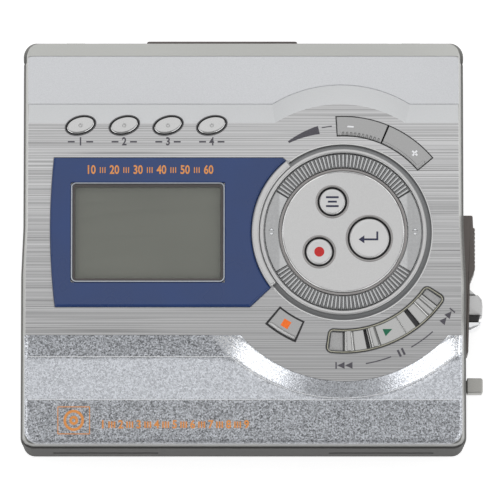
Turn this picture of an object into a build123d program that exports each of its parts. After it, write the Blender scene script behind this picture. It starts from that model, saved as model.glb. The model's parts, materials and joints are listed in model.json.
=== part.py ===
"""Portable disc player: a flat two-part case, with a hinged lid that carries the display and keys.

The origin is the centre of the bottom face. +X is the player's right, -Y its front and +Z up.
Sizes are in mm and angles in degrees.
"""

import os
from math import cos, degrees, pi, radians, sin

from build123d import *

# ------------------------------------------------------------ driving sizes
# Case
body_w = 84.8
body_d = 78.4
base_h = 13.5
lid_h = 11.4
case_wall = 1.4
case_floor = 1.4
part_gap = 0.3
side_swell = 0.4
swell_rear_y = 3.4
swell_front_y = -5.6
swell_blend_r = 60.0
rear_corner_r = 3.2
band_corner_r = 1.8
front_corner_r = 2.5
least_corner_r = 0.3
base_draft = 0.25
lid_draft = 1.2
lid_foot_inset = 0.6
bottom_edge_r = 0.9

# Lid top: a raised face plate between a rear band and a front cover
face_step = 2.2
slope_run = 3.9
rear_depth = 17.1
front_depth = 20.8
bevel_run = 3.9
bevel_drop = 5.4
chin_slope_run = 8.7
chin_slope_drop = 2.2
chin_rim_r = 0.8
plate_t = 0.5
cover_t = 0.9
roof_t = 1.8
lid_wall = 1.5
trim_gap = 0.08
band_side_gap = 0.2
overlap = 0.1

# Arched edges of the face plate, each given by its centre's offset from the dial and its radius
front_arc_top = (0.2, -2.2, 26.2)
front_arc_foot = (-0.15, 0.8, 32.2)
rear_arc_top = (-0.55, 1.5, 23.0)
rear_arc_foot = (-0.35, 3.6, 24.9)

# Dial
dial_inset_x = 23.5
dial_y = 1.2
dial_disc_r = 11.45
jog_inner_r = 12.33
jog_outer_r = 14.78
dial_ring_inner_r = 14.95
dial_ring_outer_r = 15.7
dial_well_r = 16.8
dial_floor_drop = 1.0
dial_rise = 0.8
dial_flange_t = 0.6
dial_edge_r = 0.2
dial_ring_rise = 0.1
jog_clear = 0.1
ring_bevel = 0.15
well_lap = 0.5

# Display
display_inset_x = 6.5
display_rear_y = 15.45
display_front_y = -13.1
display_bulge = 0.7
display_bulge_y = 3.575
display_lean = 0.2
display_rise = 0.6
bezel_bevel = 0.35
bezel_tongue_x = 11.45
bezel_tongue_drop = 2.2
bezel_tongue_cut_x = 8.9
bezel_cusp_x = 12.4
bezel_cusp_rise = 4.9
bezel_front_x = 17.65
surround_inner_r = 15.8
surround_outer_r = 17.4
surround_start = 128.0
surround_end = 217.5
surround_rise = 0.2
surround_bevel = 0.3
surround_seat_gap = 0.05
surround_bezel_gap = 0.02
window_inset_x = 9.7
window_w = 29.2
window_rear_y = 10.65
window_d = 19.1
frame_t = 0.76
frame_rise = 0.15
frame_bevel = 0.25
glass_t = 0.7
glass_recess = 0.3
lcd_t = 1.1
lcd_clear = 0.1
backlight_clear = 0.2

# Keys
key_gap = 0.12
key_travel = 0.4
key_rise = 0.4
key_bevel = 0.2
key_corner_r = 0.25
press_clear = 0.1
key_cut_reach = 2.0
stem_r = 0.9
stem_clear = 0.2
button_clear = 0.4
button_rise = 0.15
button_edge_r = 0.35
oval_half_l = 2.75
oval_half_w = 1.6
oval_edge_r = 0.4
oval_tilt = 15.0
oval_pitch = 8.3
oval_first_inset_x = 11.5
oval_inset = 0.45
volume_inner_r = 18.4
volume_outer_r = 22.2
volume_start = 39.8
volume_split = 67.0
volume_end = 93.6
stop_inner_r = 18.7
stop_outer_r = 22.7
stop_start = 230.2
stop_end = 246.2
channel_inner_r = 18.4
channel_outer_r = 23.2
channel_start = 261.2
channel_end = 327.6
channel_corner_r = 1.2
channel_depth = 1.5
channel_rim = 0.35
channel_rim_angle = 1.0
channel_rim_rise = 0.1
rewind_start = 269.8
rewind_end = 281.8
play_end = 307.6
forward_end = 322.0
transport_gap = 0.9
edit_place = (-2.06, 5.72)
record_place = (-4.54, -3.84)
enter_place = (4.94, -1.28)
small_button_r = 2.5
enter_button_r = 3.8

# Lid inside
board_t = 0.6
dome_h = 0.35
dome_gap = 0.1
dome_skirt = 0.3
inner_cover_t = 0.3
lid_board_inset = 1.0
lid_cover_inset = 0.6
lid_boss_r = 1.5
lid_screw_r = 0.49
lid_screw_head_t = 0.3
lid_screw_bite = 1.2
lid_screw_clear = 0.05
lid_screw_inset_x = 7.7
lid_screw_front = 3.2
lid_screw_rear = 4.4
dial_screw_x = 18.5
dial_screw_front = 6.7
dial_screw_rear = 7.3

# Latch: a hook on the lid and the bar that holds it
hook_y = 0.0
hook_w = 3.0
hook_t = 0.7
hook_inset = 2.1
hook_drop = 2.7
hook_pad_z0 = 1.0
hook_pad_z1 = 5.0

# Disc space: a disc in its cartridge, held in a hinged tray that reaches nearly from front to rear
disc_w = 72.0
disc_t = 5.0
disc_clear = 0.3
disc_front_inset = 3.4
disc_rear_inset = 7.0
disc_lift = 0.0
disc_head_room = 0.5
disc_rest_r = 1.2
disc_rest_x = 26.0
disc_rest_inset = 8.0
disc_rest_gap = 0.05
holder_t = 0.4
holder_lip = 3.0
holder_stop_t = 0.5
notch_r = 9.0
notch_depth = 1.0
head_window_half = 5.0
head_window_margin = 1.0
guide_t = 0.8
guide_gap = 0.15

# Recording head, carried over the disc
carriage_lift = 0.06
carriage_t = 0.5
carriage_l = 9.0
carriage_half = 7.0
head_r = 1.8
head_reach = 0.2

# Hinge
hinge_inset = 2.0
hinge_rise = 0.5
barrel_r = 1.9
hinge_pin_r = 0.6
pin_clear = 0.04
knuckle_gap = 0.2
middle_barrel_half = 27.8
ear_w = 2.0
lid_knuckle_w = 3.6
hinge_clear = 0.3
web_t = 1.6
web_foot = 1.5
knuckle_lap = 0.6
pin_bite = 2.0
pin_reach = 2.4

# Battery: one flat rechargeable cell across the front
cell_l = 67.0
cell_w = 17.0
cell_t = 6.1
cell_clear = 0.15
cell_edge_r = 1.2
bay_wall = 0.8
bay_lap = 1.0
bay_mouth = 1.0
door_t = 1.2
door_gap = 0.15
door_seat = 0.3
door_inset = 0.45
door_pin_r = 0.5
door_pin_bite = 0.6
door_knuckle_r = 1.1
door_ear = 1.6
rib_inset = 3.0
rib_l = 6.0
rib_w = 0.4
rib_depth = 0.25
rib_z = 1.8
rib_pitch = 1.0
contact_t = 0.4
contact_w = 5.0
contact_inset_z = 1.0

# Drive
spindle_y = -3.5
motor_r = 9.5
motor_h = 3.8
deck_t = 0.6
deck_drop = 1.5
deck_side = 1.1
deck_rear_gap = 1.5
shaft_r = 1.0
run_clear = 0.03
turntable_r = 8.5
hub_r = 5.0
hub_bite = 0.8
hub_bevel = 0.4
turntable_gap = 0.3
table_sink = 0.4
motor_edge_r = 0.5
motor_end = 0.8
shaft_end_gap = 0.05
shaft_room = 1.0
sled_travel = 15.0
sled_start = 12.0
sled_l = 9.0
sled_h = 3.0
sled_gap = 0.5
sled_cheek = 0.6
rod_r = 0.8
rod_offset = 9.0
rod_end_gap = 1.0
bracket_t = 1.0
bracket_gap = 0.3
bracket_out = 1.2
bracket_in = 1.0
bracket_drop = 1.4
gear_module = 0.4
rack_pinion_teeth = 12
wheel_teeth = 24
motor_teeth = 8
pinion_angle = 45.0
rack_teeth = 18
rack_lead = 2.5
addendum = 0.6
dedendum = 0.9
tooth_share = 0.9
gear_h = 0.8
gear_lift = 0.4
gear_inset = 3.5
rack_h = 1.2
rack_w = 1.2
rack_arm = 3.5
axle_r = 0.7
axle_end = 0.2
sled_motor_r = 3.4
sled_motor_h = 4.0
sled_motor_gap = 0.3
sled_motor_end = 0.95
sled_motor_post_r = 0.5
sled_motor_post_inset = 0.6
motor_shaft_r = 0.4
turret_w = 7.0
turret_rise = 0.6
turret_room = 0.8
turret_end_gap = 0.2
lens_r = 1.6
lens_rise = 0.4
lens_edge_r = 0.25

# Boards and chips of the base
main_board_t = 0.8
main_board_z = 3.0
board_margin = 1.2
board_bay_gap = 2.4
board_damper_gap = 0.4
board_post_r = 1.5
board_post_pitch = 22.0
board_post_rear = 9.2
board_post_front = 5.0

# Controls on the right side
rail_t = 2.0
rail_thin_t = 0.8
rail_rear_y = 6.2
rail_taper_y = -4.2
rail_step_y = -6.6
rail_step_t = 0.3
rail_front_y = -21.0
rail_end_round = 1.0
rail_end_t = 0.2
rail_corner_r = 0.35
rail_foot_z = 3.2
rail_top_gap = 1.7
open_knob_t = 4.0
open_knob_l = 8.7
open_knob_rear_y = -7.0
open_knob_h = 6.0
open_knob_bevel = 0.7
open_knob_gap = 0.45
open_travel = 2.5
hold_knob_t = 3.3
hold_knob_l = 2.9
hold_knob_rear_y = -24.8
hold_knob_h = 4.0
hold_knob_edge_r = 0.4
hold_knob_gap = 0.25
hold_clip_t = 0.6
hold_travel = 2.5
knob_drop = 5.9
knob_neck_h = 2.4
knob_neck_clear = 0.3
open_neck_inset = 1.6
hold_neck_inset = 0.5
slot_reach = 1.5
slider_gap = 0.2
latch_t = 0.9
latch_h = 3.6
latch_tail = 1.0
latch_nose_l = 2.2
latch_top_gap = 0.4
latch_clear = 0.25

# Sockets
jack_r = 1.8
jack_collar_r = 2.9
jack_body = 5.6
jack_l = 12.0
jack_end = 1.0
jack_fit = 0.05
jack_seat = 0.5
jack_recess = 0.25
jack_deck_gap = 1.2
jack_pitch = 11.0
line_in_inset = 18.2
power_x = 27.0
power_w = 5.8
power_h = 3.6
power_l = 8.0
power_wall = 0.6
power_recess = 0.3
power_pin_r = 0.5
power_pin_inset = 1.5
power_pin_seat = 0.5
power_back_t = 1.5

# Rear terminal cover and front grip grooves
terminal_w = 28.8
terminal_x = -4.1
terminal_t = 0.9
terminal_h = 6.4
terminal_drop = 6.1
terminal_edge_r = 0.35
groove_l = 20.0
groove_x = 26.3
groove_h = 1.4
groove_depth = 0.4
groove_wall_inset = 0.36
groove_drop = 7.1

# Fasteners
screw_r = 0.7
screw_head_r = 1.3
screw_head_t = 0.7
screw_sink = 0.25
screw_head_clear = 0.1
screw_end_gap = 0.1
screw_slot_l = 1.6
screw_slot_w = 0.35
screw_slot_h = 0.4
screw_inset_x = 5.5
screw_inset_y = 6.0
bay_screw_inset_x = 9.5
bay_screw_gap = 1.6
boss_r = 1.9
damper_r = 2.2
damper_h = 1.5
damper_inset_x = 8.2
damper_front_inset = 10.2
damper_rear_inset = 11.7
big = 200.0

# ------------------------------------------------------------ heights and lines worked out from them
half_w = body_w / 2
half_d = body_d / 2
lid_z = base_h + part_gap
face_z = lid_z + lid_h
step_z = face_z - face_step
face_rear_y = half_d - rear_depth
face_front_y = front_depth - half_d
crease_y = chin_slope_run - half_d
plate_z = face_z - plate_t
roof_z = face_z - roof_t

dial_x = half_w - dial_inset_x
dial_floor_z = face_z - dial_floor_drop
dial_top_z = face_z + dial_rise

hinge_y = half_d - hinge_inset
hinge_z = base_h + hinge_rise
hinge_cut_y = hinge_y - barrel_r - hinge_clear
wall_cut_z = hinge_z - barrel_r - overlap
skirt_cut_z = hinge_z + barrel_r + hinge_clear

lid_board_top = roof_z - dome_gap - key_travel - dome_h
dome_z = lid_board_top + dome_h
stem_foot_z = dome_z + dome_gap + key_travel

disc_z = base_h + disc_lift
disc_roof_z = disc_z + disc_t + disc_head_room
disc_front_y = disc_front_inset - half_d
disc_rear_y = half_d - disc_rear_inset
holder_half_w = disc_w / 2 + disc_clear

deck_z = base_h - deck_drop
deck_foot = deck_z - deck_t
rod_z = deck_foot - sled_gap - sled_h / 2
sled_floor = rod_z - sled_h / 2
rods_front_y = spindle_y - rod_offset
rods_rear_y = spindle_y + rod_offset
sled_side = rod_offset + rod_r + sled_cheek
head_x = sled_start + sled_l / 2
bracket_x0 = motor_r + bracket_gap
rods_end_x = sled_start + sled_l + sled_travel + rod_end_gap

pinion_r = gear_module * rack_pinion_teeth / 2
wheel_r = gear_module * wheel_teeth / 2
motor_pinion_r = gear_module * motor_teeth / 2
rack_tip = addendum * gear_module
rack_root = dedendum * gear_module
tooth_w = tooth_share * gear_module
tooth_pitch = pi * gear_module
rack_pitch_y = spindle_y + sled_side + rack_arm
gear_x = sled_start + sled_l - gear_inset
gear_y = rack_pitch_y + pinion_r
pinion_x = gear_x + (wheel_r + motor_pinion_r) * cos(radians(pinion_angle))
pinion_y = gear_y + (wheel_r + motor_pinion_r) * sin(radians(pinion_angle))
wheel_z = deck_foot - gear_lift - gear_h

cell_y = front_corner_r - half_d + cell_w / 2 + cell_clear
bay_rear_y = cell_y + cell_w / 2 + cell_clear
bay_front_y = cell_y - cell_w / 2 - cell_clear
cell_z = case_floor + cell_clear
bay_roof_z = cell_z + cell_t + cell_clear
cell_x0 = door_t + door_gap + door_seat - half_w
cell_x1 = cell_x0 + cell_l
door_pin_x = door_knuckle_r - half_w
door_pin_y = bay_rear_y + door_knuckle_r + door_gap

cap_z = roof_z + key_travel + press_clear
button_z = dial_floor_z + key_travel + press_clear
tray_floor_z = face_z - channel_depth
tray_cap_z = tray_floor_z + key_travel + press_clear
key_top_z = face_z + key_rise
bezel_top_z = face_z + display_rise
window_x = window_inset_x + window_w / 2 - half_w
window_y = window_rear_y - window_d / 2
glass_z = bezel_top_z - glass_recess - glass_t
lcd_z = glass_z - lcd_t

ear_x0 = middle_barrel_half + knuckle_gap
ear_x1 = ear_x0 + ear_w
lid_knuckle_x0 = ear_x1 + knuckle_gap
lid_knuckle_x1 = lid_knuckle_x0 + lid_knuckle_w
end_knuckle_x0 = lid_knuckle_x1 + knuckle_gap
pin_end_x = end_knuckle_x0 + pin_reach

knob_z = base_h - knob_drop
rail_top_z = base_h - rail_top_gap
terminal_z = base_h - terminal_drop
groove_z = base_h - groove_drop
main_board_top = main_board_z + main_board_t
jack_z = deck_foot - jack_deck_gap - jack_body / 2
line_in_y = half_d - line_in_inset
headphone_y = line_in_y - jack_pitch

os.makedirs("parts", exist_ok=True)


def write(piece, name):
    """Label a finished piece and write it as one STEP file."""
    piece.part.label = name
    export_step(piece.part, f"parts/{name}.step")


def level(z):
    return Plane.XY.offset(z)


def dial_plane(z):
    return Plane(origin=(dial_x, dial_y, z))


def block(x0, x1, y0, y1, z0, z1, mode=Mode.ADD):
    """A box given by its lowest and highest corners."""
    with Locations(((x0 + x1) / 2, (y0 + y1) / 2, (z0 + z1) / 2)):
        Box(x1 - x0, y1 - y0, z1 - z0, mode=mode)


def post(x, y, z0, z1, radius, mode=Mode.ADD):
    """An upright cylinder from z0 to z1."""
    with Locations((x, y, (z0 + z1) / 2)):
        Cylinder(radius, z1 - z0, mode=mode)


def bar_x(x0, x1, y, z, radius, mode=Mode.ADD):
    """A cylinder along X."""
    with Locations(((x0 + x1) / 2, y, z)):
        Cylinder(radius, x1 - x0, rotation=(0, 90, 0), mode=mode)


def case_outline(z, inset=0.0):
    """The case's plan: straight sides that swell a little towards the front, and rounded corners."""
    wide = half_w - inset
    narrow = wide - side_swell
    deep = half_d - inset
    with BuildSketch(level(z)) as outline:
        with BuildLine():
            Polyline(
                (narrow, deep), (narrow, swell_rear_y), (wide, swell_front_y), (wide, -deep),
                (-wide, -deep), (-wide, swell_front_y), (-narrow, swell_rear_y), (-narrow, deep),
                close=True,
            )
        make_face()
        fillet(outline.vertices().group_by(Axis.Y)[-1], max(rear_corner_r - inset, least_corner_r))
        fillet(outline.vertices().group_by(Axis.Y)[0], max(front_corner_r - inset, least_corner_r))
        swell = outline.vertices().filter_by(
            lambda v: swell_front_y - overlap < v.Y < swell_rear_y + overlap
        )
        fillet(swell, swell_blend_r)
    return outline.sketch


def arc_disc(arc, inset=0.0, mode=Mode.ADD):
    """A full disc under one of the arched edges, in the sketch that is open."""
    with Locations((dial_x + arc[0], dial_y + arc[1])):
        Circle(arc[2] - inset, mode=mode)


def lower_form(foot_z, inset=0.0):
    """The lower case's drafted form from foot_z up, shrunk by inset."""
    with BuildPart() as form:
        loft([case_outline(foot_z, inset + base_draft), case_outline(base_h, inset)], ruled=True)
    return form.part


def face_region(z, inset=0.0, reach=half_w):
    """The raised plate's plan: a strip across the lid that bulges round the dial, front and rear."""
    with BuildSketch(level(z)) as region:
        arc_disc(front_arc_top, inset)
        with Locations((0, dial_y + big / 2)):
            Rectangle(big, big, mode=Mode.SUBTRACT)
        arc_disc(rear_arc_top, inset)
        with Locations((0, (face_rear_y + face_front_y) / 2)):
            Rectangle(big, face_rear_y - face_front_y - 2 * inset)
        Rectangle(2 * (reach - inset), big, mode=Mode.INTERSECT)
    return region.sketch


def arched_slope(top, foot, drop, front):
    """The conical slope under an arched edge, kept on its own side of the dial."""
    with BuildPart() as slope:
        with BuildSketch(level(face_z - drop)):
            arc_disc(top)
        with BuildSketch(level(step_z - drop)):
            arc_disc(foot)
        loft()
        with Locations((0, dial_y - big / 2 if front else dial_y + big / 2, 0)):
            Box(big, big, big, mode=Mode.INTERSECT)
    return slope.part


def top_form(drop=0.0):
    """Everything under the lid's top surface, with that surface lowered by drop."""
    front_z = step_z - chin_slope_drop * (big / 2 + crease_y) / chin_slope_run
    with BuildPart() as form:
        with BuildSketch(Plane.YZ.offset(-big / 2)):
            with BuildLine():
                Polyline(
                    (-big / 2, front_z - drop - big), (-big / 2, front_z - drop), (crease_y, step_z - drop),
                    (half_d - bevel_run, step_z - drop), (half_d, step_z - bevel_drop - drop),
                    (half_d, front_z - drop - big),
                    close=True,
                )
            make_face()
        extrude(amount=big)
        with BuildSketch(Plane.YZ.offset(-big / 2)):
            with BuildLine():
                Polyline(
                    (face_front_y - slope_run, step_z - drop), (face_front_y, face_z - drop),
                    (face_rear_y, face_z - drop), (face_rear_y + slope_run, step_z - drop),
                    close=True,
                )
            make_face()
        extrude(amount=big)
        add(arched_slope(front_arc_top, front_arc_foot, drop, True))
        add(arched_slope(rear_arc_top, rear_arc_foot, drop, False))
    return form.part


def ring_sector(z, inner_r, outer_r, start, end, corner_r=0.0):
    """A stretch of a ring about the dial."""
    with BuildSketch(dial_plane(z)) as sector:
        with BuildLine():
            outer = CenterArc((0, 0), outer_r, start, end - start)
            inner = CenterArc((0, 0), inner_r, start, end - start)
            Line(outer @ 0, inner @ 0)
            Line(outer @ 1, inner @ 1)
        make_face()
        if corner_r:
            fillet(sector.vertices(), corner_r)
    return sector.sketch


def bezel_outline(z, grow=0.0):
    """The display bezel's plan: a bowed left end, and a right end cut round the dial's surround."""
    left = display_inset_x - half_w - grow
    rear = display_rear_y + grow
    front = display_front_y - grow
    bow = left - display_bulge
    right = dial_x + grow
    with BuildSketch(level(z)) as outline:
        with BuildLine():
            Polyline(
                (left, rear), (right - bezel_tongue_x, rear),
                (right - bezel_tongue_cut_x, rear - bezel_tongue_drop - grow),
                (right - bezel_tongue_cut_x, dial_y),
                (right - bezel_cusp_x, front + bezel_cusp_rise + grow), (right - bezel_front_x, front),
                (left + display_lean, front),
            )
            ThreePointArc((left + display_lean, front), (bow, display_bulge_y), (left, rear))
        make_face()
        with Locations((dial_x, dial_y)):
            Circle(surround_outer_r - grow, mode=Mode.SUBTRACT)
    return outline.sketch


def toothed_wheel(x, y, z0, z1, teeth, phase):
    """A spur wheel with narrow teeth, centred on (x, y), with one tooth at the angle phase."""
    pitch_r = gear_module * teeth / 2
    root_r = pitch_r - rack_root
    tip_r = pitch_r + rack_tip
    with BuildSketch(Plane(origin=(x, y, z0))) as wheel:
        Circle(root_r)
        with PolarLocations((root_r + tip_r) / 2 - overlap, teeth, start_angle=phase):
            Rectangle(tip_r - root_r + 2 * overlap, tooth_w)
    extrude(wheel.sketch, amount=z1 - z0)


# ------------------------------------------------------------ case: lid
def make_lid_block():
    """The lid's whole outer form as one solid, before it is parted into plate, covers and shell."""
    with BuildPart() as lid_block:
        loft([case_outline(lid_z, lid_foot_inset), case_outline(face_z, lid_draft)], ruled=True)
        add(top_form(), mode=Mode.INTERSECT)
        top_edges = lid_block.edges().filter_by(Axis.X).filter_by(lambda e: e.center().Z > lid_z + overlap)
        fillet(top_edges.sort_by(Axis.Y)[0], chin_rim_r)
    return lid_block.part


lid_block = make_lid_block()


def polar(radius, angle):
    """A point in the case's plan, given from the dial."""
    return (dial_x + radius * cos(radians(angle)), dial_y + radius * sin(radians(angle)))


def near_dial(place):
    return (dial_x + place[0], dial_y + place[1])


oval_places = [(oval_first_inset_x - half_w + i * oval_pitch, face_rear_y - oval_inset) for i in range(4)]
volume_mid_r = (volume_inner_r + volume_outer_r) / 2
channel_mid_r = (channel_inner_r + channel_outer_r) / 2
play_start = rewind_end + transport_gap
forward_start = play_end + transport_gap * 2
key_foot = {
    "display_button": oval_places[0],
    "mode_button": oval_places[1],
    "character_button": oval_places[2],
    "bass_button": oval_places[3],
    "volume_down_key": polar(volume_mid_r, (volume_split + volume_end) / 2),
    "volume_up_key": polar(volume_mid_r, (volume_start + volume_split) / 2),
    "stop_key": polar((stop_inner_r + stop_outer_r) / 2, (stop_start + stop_end) / 2),
    "rewind_key": polar(channel_mid_r, (rewind_start + rewind_end) / 2),
    "play_key": polar(channel_mid_r, (play_start + play_end) / 2),
    "forward_key": polar(channel_mid_r, (forward_start + forward_end) / 2),
    "edit_button": near_dial(edit_place),
    "record_button": near_dial(record_place),
    "enter_button": near_dial(enter_place),
}
dial_buttons = {
    "edit_button": small_button_r,
    "record_button": small_button_r,
    "enter_button": enter_button_r,
}
tray_keys = ["rewind_key", "play_key", "forward_key"]
lid_screw_places = [
    (lid_screw_inset_x - half_w, face_front_y + lid_screw_front),
    (lid_screw_inset_x - half_w, face_rear_y - lid_screw_rear),
    (dial_x + dial_screw_x, dial_y - dial_screw_front),
    (dial_x + dial_screw_x, dial_y + dial_screw_rear),
]


def oval_outline(z, place, grow=0.0):
    with BuildSketch(level(z)) as outline:
        with Locations(place):
            Ellipse(oval_half_l + grow, oval_half_w + grow, rotation=oval_tilt)
    return outline.sketch


def cut_key_openings(z, depth):
    """The openings for the oval buttons, the volume keys, the stop key and the transport channel."""
    for place in oval_places:
        extrude(oval_outline(z, place, key_gap), amount=depth, mode=Mode.SUBTRACT)
    extrude(ring_sector(z, volume_inner_r, volume_outer_r, volume_start, volume_end),
            amount=depth, mode=Mode.SUBTRACT)
    extrude(ring_sector(z, stop_inner_r, stop_outer_r, stop_start, stop_end),
            amount=depth, mode=Mode.SUBTRACT)
    extrude(ring_sector(z, channel_inner_r, channel_outer_r, channel_start, channel_end, channel_corner_r),
            amount=depth, mode=Mode.SUBTRACT)


def window_outline(z, inset=0.0):
    with BuildSketch(level(z)) as outline:
        with Locations((window_x, window_y)):
            Rectangle(window_w - 2 * inset, window_d - 2 * inset)
    return outline.sketch


def hinge_knuckles(spans, web_z0, web_z1, bore_r):
    """Barrels on the hinge line with a web below or above them, kept inside the case's plan."""
    with BuildPart() as knuckles:
        for x0, x1 in spans:
            bar_x(x0, x1, hinge_y, hinge_z, barrel_r)
            block(x0, x1, hinge_y - web_t / 2, hinge_y + web_t - overlap, web_z0, web_z1)
        extrude(case_outline(0), amount=big, mode=Mode.INTERSECT)
        for side in (-1, 1):
            near = side * (middle_barrel_half - pin_bite)
            far = side * pin_end_x
            bar_x(min(near, far), max(near, far), hinge_y, hinge_z, bore_r, mode=Mode.SUBTRACT)
    return knuckles.part


def both_sides(x0, x1):
    return [(x0, x1), (-x1, -x0)]




def make_front_cover():
    """The sparkling cover over the lid's front: slope, flat, front slope and rim."""
    with BuildPart() as front_cover:
        add(lid_block)
        add(top_form(cover_t), mode=Mode.SUBTRACT)
        extrude(face_region(lid_z), amount=big, mode=Mode.SUBTRACT)
        block(-big / 2, big / 2, dial_y, big, 0, big, mode=Mode.SUBTRACT)
    return front_cover


def make_rear_cover():
    """The smooth band along the lid's rear, with an arched front edge."""
    band_front_y = face_rear_y + slope_run
    band_rear_y = half_d - bevel_run
    with BuildPart() as rear_cover:
        add(lid_block)
        add(top_form(cover_t), mode=Mode.SUBTRACT)
        with BuildSketch(level(lid_z)) as band:
            with Locations((0, (band_front_y + band_rear_y) / 2)):
                Rectangle(2 * (half_w - side_swell - band_side_gap), band_rear_y - band_front_y)
            fillet(band.vertices().group_by(Axis.Y)[-1], band_corner_r)
            arc_disc(rear_arc_foot, mode=Mode.SUBTRACT)
        extrude(amount=big, mode=Mode.INTERSECT)
    return rear_cover


def make_face_plate():
    """The striped metal plate, with its openings."""
    with BuildPart() as face_plate:
        extrude(face_region(plate_z), amount=plate_t)
        add(lid_block, mode=Mode.INTERSECT)
        extrude(bezel_outline(plate_z, trim_gap), amount=plate_t, mode=Mode.SUBTRACT)
        surround_r = surround_outer_r + trim_gap
        extrude(ring_sector(plate_z, surround_inner_r, surround_r, surround_start, surround_end),
                amount=plate_t, mode=Mode.SUBTRACT)
        post(dial_x, dial_y, plate_z, face_z, dial_well_r, mode=Mode.SUBTRACT)
        cut_key_openings(plate_z, plate_t)
    return face_plate


front_cover = make_front_cover()
write(front_cover, "front_cover")
rear_cover = make_rear_cover()
write(rear_cover, "rear_cover")
face_plate = make_face_plate()
write(face_plate, "face_plate")

hook_x = half_w - case_wall - hook_inset
hook_foot_z = base_h - hook_drop


def lid_hollow():
    """The room inside the lid, between its walls and under its roof."""
    with BuildPart() as hollow:
        loft([case_outline(lid_z, lid_wall), case_outline(face_z, lid_wall + lid_draft)], ruled=True)
        add(top_form(roof_t), mode=Mode.INTERSECT)
    return hollow.part


with BuildPart() as lid_shell:
    add(lid_block)
    add(front_cover.part, mode=Mode.SUBTRACT)
    add(rear_cover.part, mode=Mode.SUBTRACT)
    extrude(face_region(plate_z), amount=lid_h, mode=Mode.SUBTRACT)
    add(lid_hollow(), mode=Mode.SUBTRACT)
    # The rear is cut back for the hinge, and carries the lid's knuckles
    block(-big / 2, big / 2, hinge_cut_y, big, 0, skirt_cut_z, mode=Mode.SUBTRACT)
    add(hinge_knuckles(both_sides(lid_knuckle_x0, lid_knuckle_x1), hinge_z, skirt_cut_z + knuckle_lap,
                       hinge_pin_r + pin_clear))
    # Openings for the display, the keys and the dial
    extrude(window_outline(roof_z, frame_t), amount=roof_t, mode=Mode.SUBTRACT)
    cut_key_openings(roof_z - key_cut_reach, roof_t + key_cut_reach)
    post(dial_x, dial_y, dial_floor_z, face_z, surround_inner_r, mode=Mode.SUBTRACT)
    well_inner_r = surround_inner_r - well_lap
    extrude(ring_sector(dial_floor_z, well_inner_r, dial_well_r, surround_end, surround_start + 360),
            amount=roof_t, mode=Mode.SUBTRACT)
    for name in dial_buttons:
        post(*key_foot[name], roof_z, face_z, stem_r + stem_clear, mode=Mode.SUBTRACT)
    # Bosses for the board's screws and the pad for the latch hook
    for x, y in lid_screw_places:
        post(x, y, lid_board_top, roof_z + overlap, lid_boss_r)
        post(x, y, lid_board_top, roof_z + lid_screw_bite, lid_screw_r, mode=Mode.SUBTRACT)
    block(hook_x + hook_t, half_w - case_wall, hook_y - hook_w / 2, hook_y + hook_w / 2,
          lid_z + hook_pad_z0, lid_z + hook_pad_z1)
write(lid_shell, "lid_shell")

# ------------------------------------------------------------ lid: display
with BuildPart() as display_bezel:
    extrude(bezel_outline(plate_z), amount=bezel_top_z - plate_z)
    chamfer(display_bezel.faces().sort_by(Axis.Z)[-1].edges(), bezel_bevel)
    extrude(window_outline(plate_z), amount=roof_t, mode=Mode.SUBTRACT)
write(display_bezel, "display_bezel")

with BuildPart() as dial_surround:
    extrude(
        ring_sector(
            plate_z, surround_inner_r + surround_seat_gap, surround_outer_r - surround_bezel_gap,
            surround_start, surround_end,
        ),
        amount=bezel_top_z + surround_rise - plate_z,
    )
    chamfer(dial_surround.faces().sort_by(Axis.Z)[-1].edges(), surround_bevel)
write(dial_surround, "dial_surround")

with BuildPart() as display_frame:
    extrude(window_outline(plate_z), amount=bezel_top_z + frame_rise - plate_z)
    chamfer(display_frame.faces().sort_by(Axis.Z)[-1].edges(), frame_bevel)
    extrude(window_outline(plate_z, frame_t), amount=roof_t, mode=Mode.SUBTRACT)
write(display_frame, "display_frame")

with BuildPart() as display_window:
    extrude(window_outline(glass_z, frame_t), amount=glass_t)
write(display_window, "display_window")

with BuildPart() as lcd_panel:
    extrude(window_outline(lcd_z, frame_t + lcd_clear), amount=lcd_t)
write(lcd_panel, "lcd_panel")

with BuildPart() as lcd_backlight:
    extrude(window_outline(lid_board_top, frame_t + backlight_clear), amount=lcd_z - lid_board_top)
write(lcd_backlight, "lcd_backlight")

# ------------------------------------------------------------ lid: dial
with BuildPart() as dial_disc:
    post(dial_x, dial_y, dial_floor_z, dial_floor_z + dial_flange_t, jog_inner_r - key_gap)
    post(dial_x, dial_y, dial_floor_z, dial_top_z, dial_disc_r)
    fillet(dial_disc.faces().sort_by(Axis.Z)[-1].edges(), dial_edge_r)
    for name, button_r in dial_buttons.items():
        post(*key_foot[name], dial_floor_z, dial_top_z, button_r + button_clear, mode=Mode.SUBTRACT)
write(dial_disc, "dial_disc")

with BuildPart() as jog_ring:
    post(dial_x, dial_y, dial_floor_z + jog_clear, dial_top_z, jog_outer_r)
    post(dial_x, dial_y, dial_floor_z, dial_top_z, jog_inner_r, mode=Mode.SUBTRACT)
    chamfer(jog_ring.faces().sort_by(Axis.Z)[-1].edges(), ring_bevel)
write(jog_ring, "jog_ring")

with BuildPart() as dial_ring:
    post(dial_x, dial_y, dial_floor_z, dial_top_z + dial_ring_rise, dial_ring_outer_r)
    post(dial_x, dial_y, dial_floor_z, dial_top_z + dial_ring_rise, dial_ring_inner_r, mode=Mode.SUBTRACT)
    chamfer(dial_ring.faces().sort_by(Axis.Z)[-1].edges(), ring_bevel)
write(dial_ring, "dial_ring")

for name, button_r in dial_buttons.items():
    with BuildPart() as button:
        post(*key_foot[name], button_z, dial_top_z + button_rise, button_r)
        fillet(button.faces().sort_by(Axis.Z)[-1].edges(), button_edge_r)
        post(*key_foot[name], stem_foot_z, button_z, stem_r)
    write(button, name)

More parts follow.
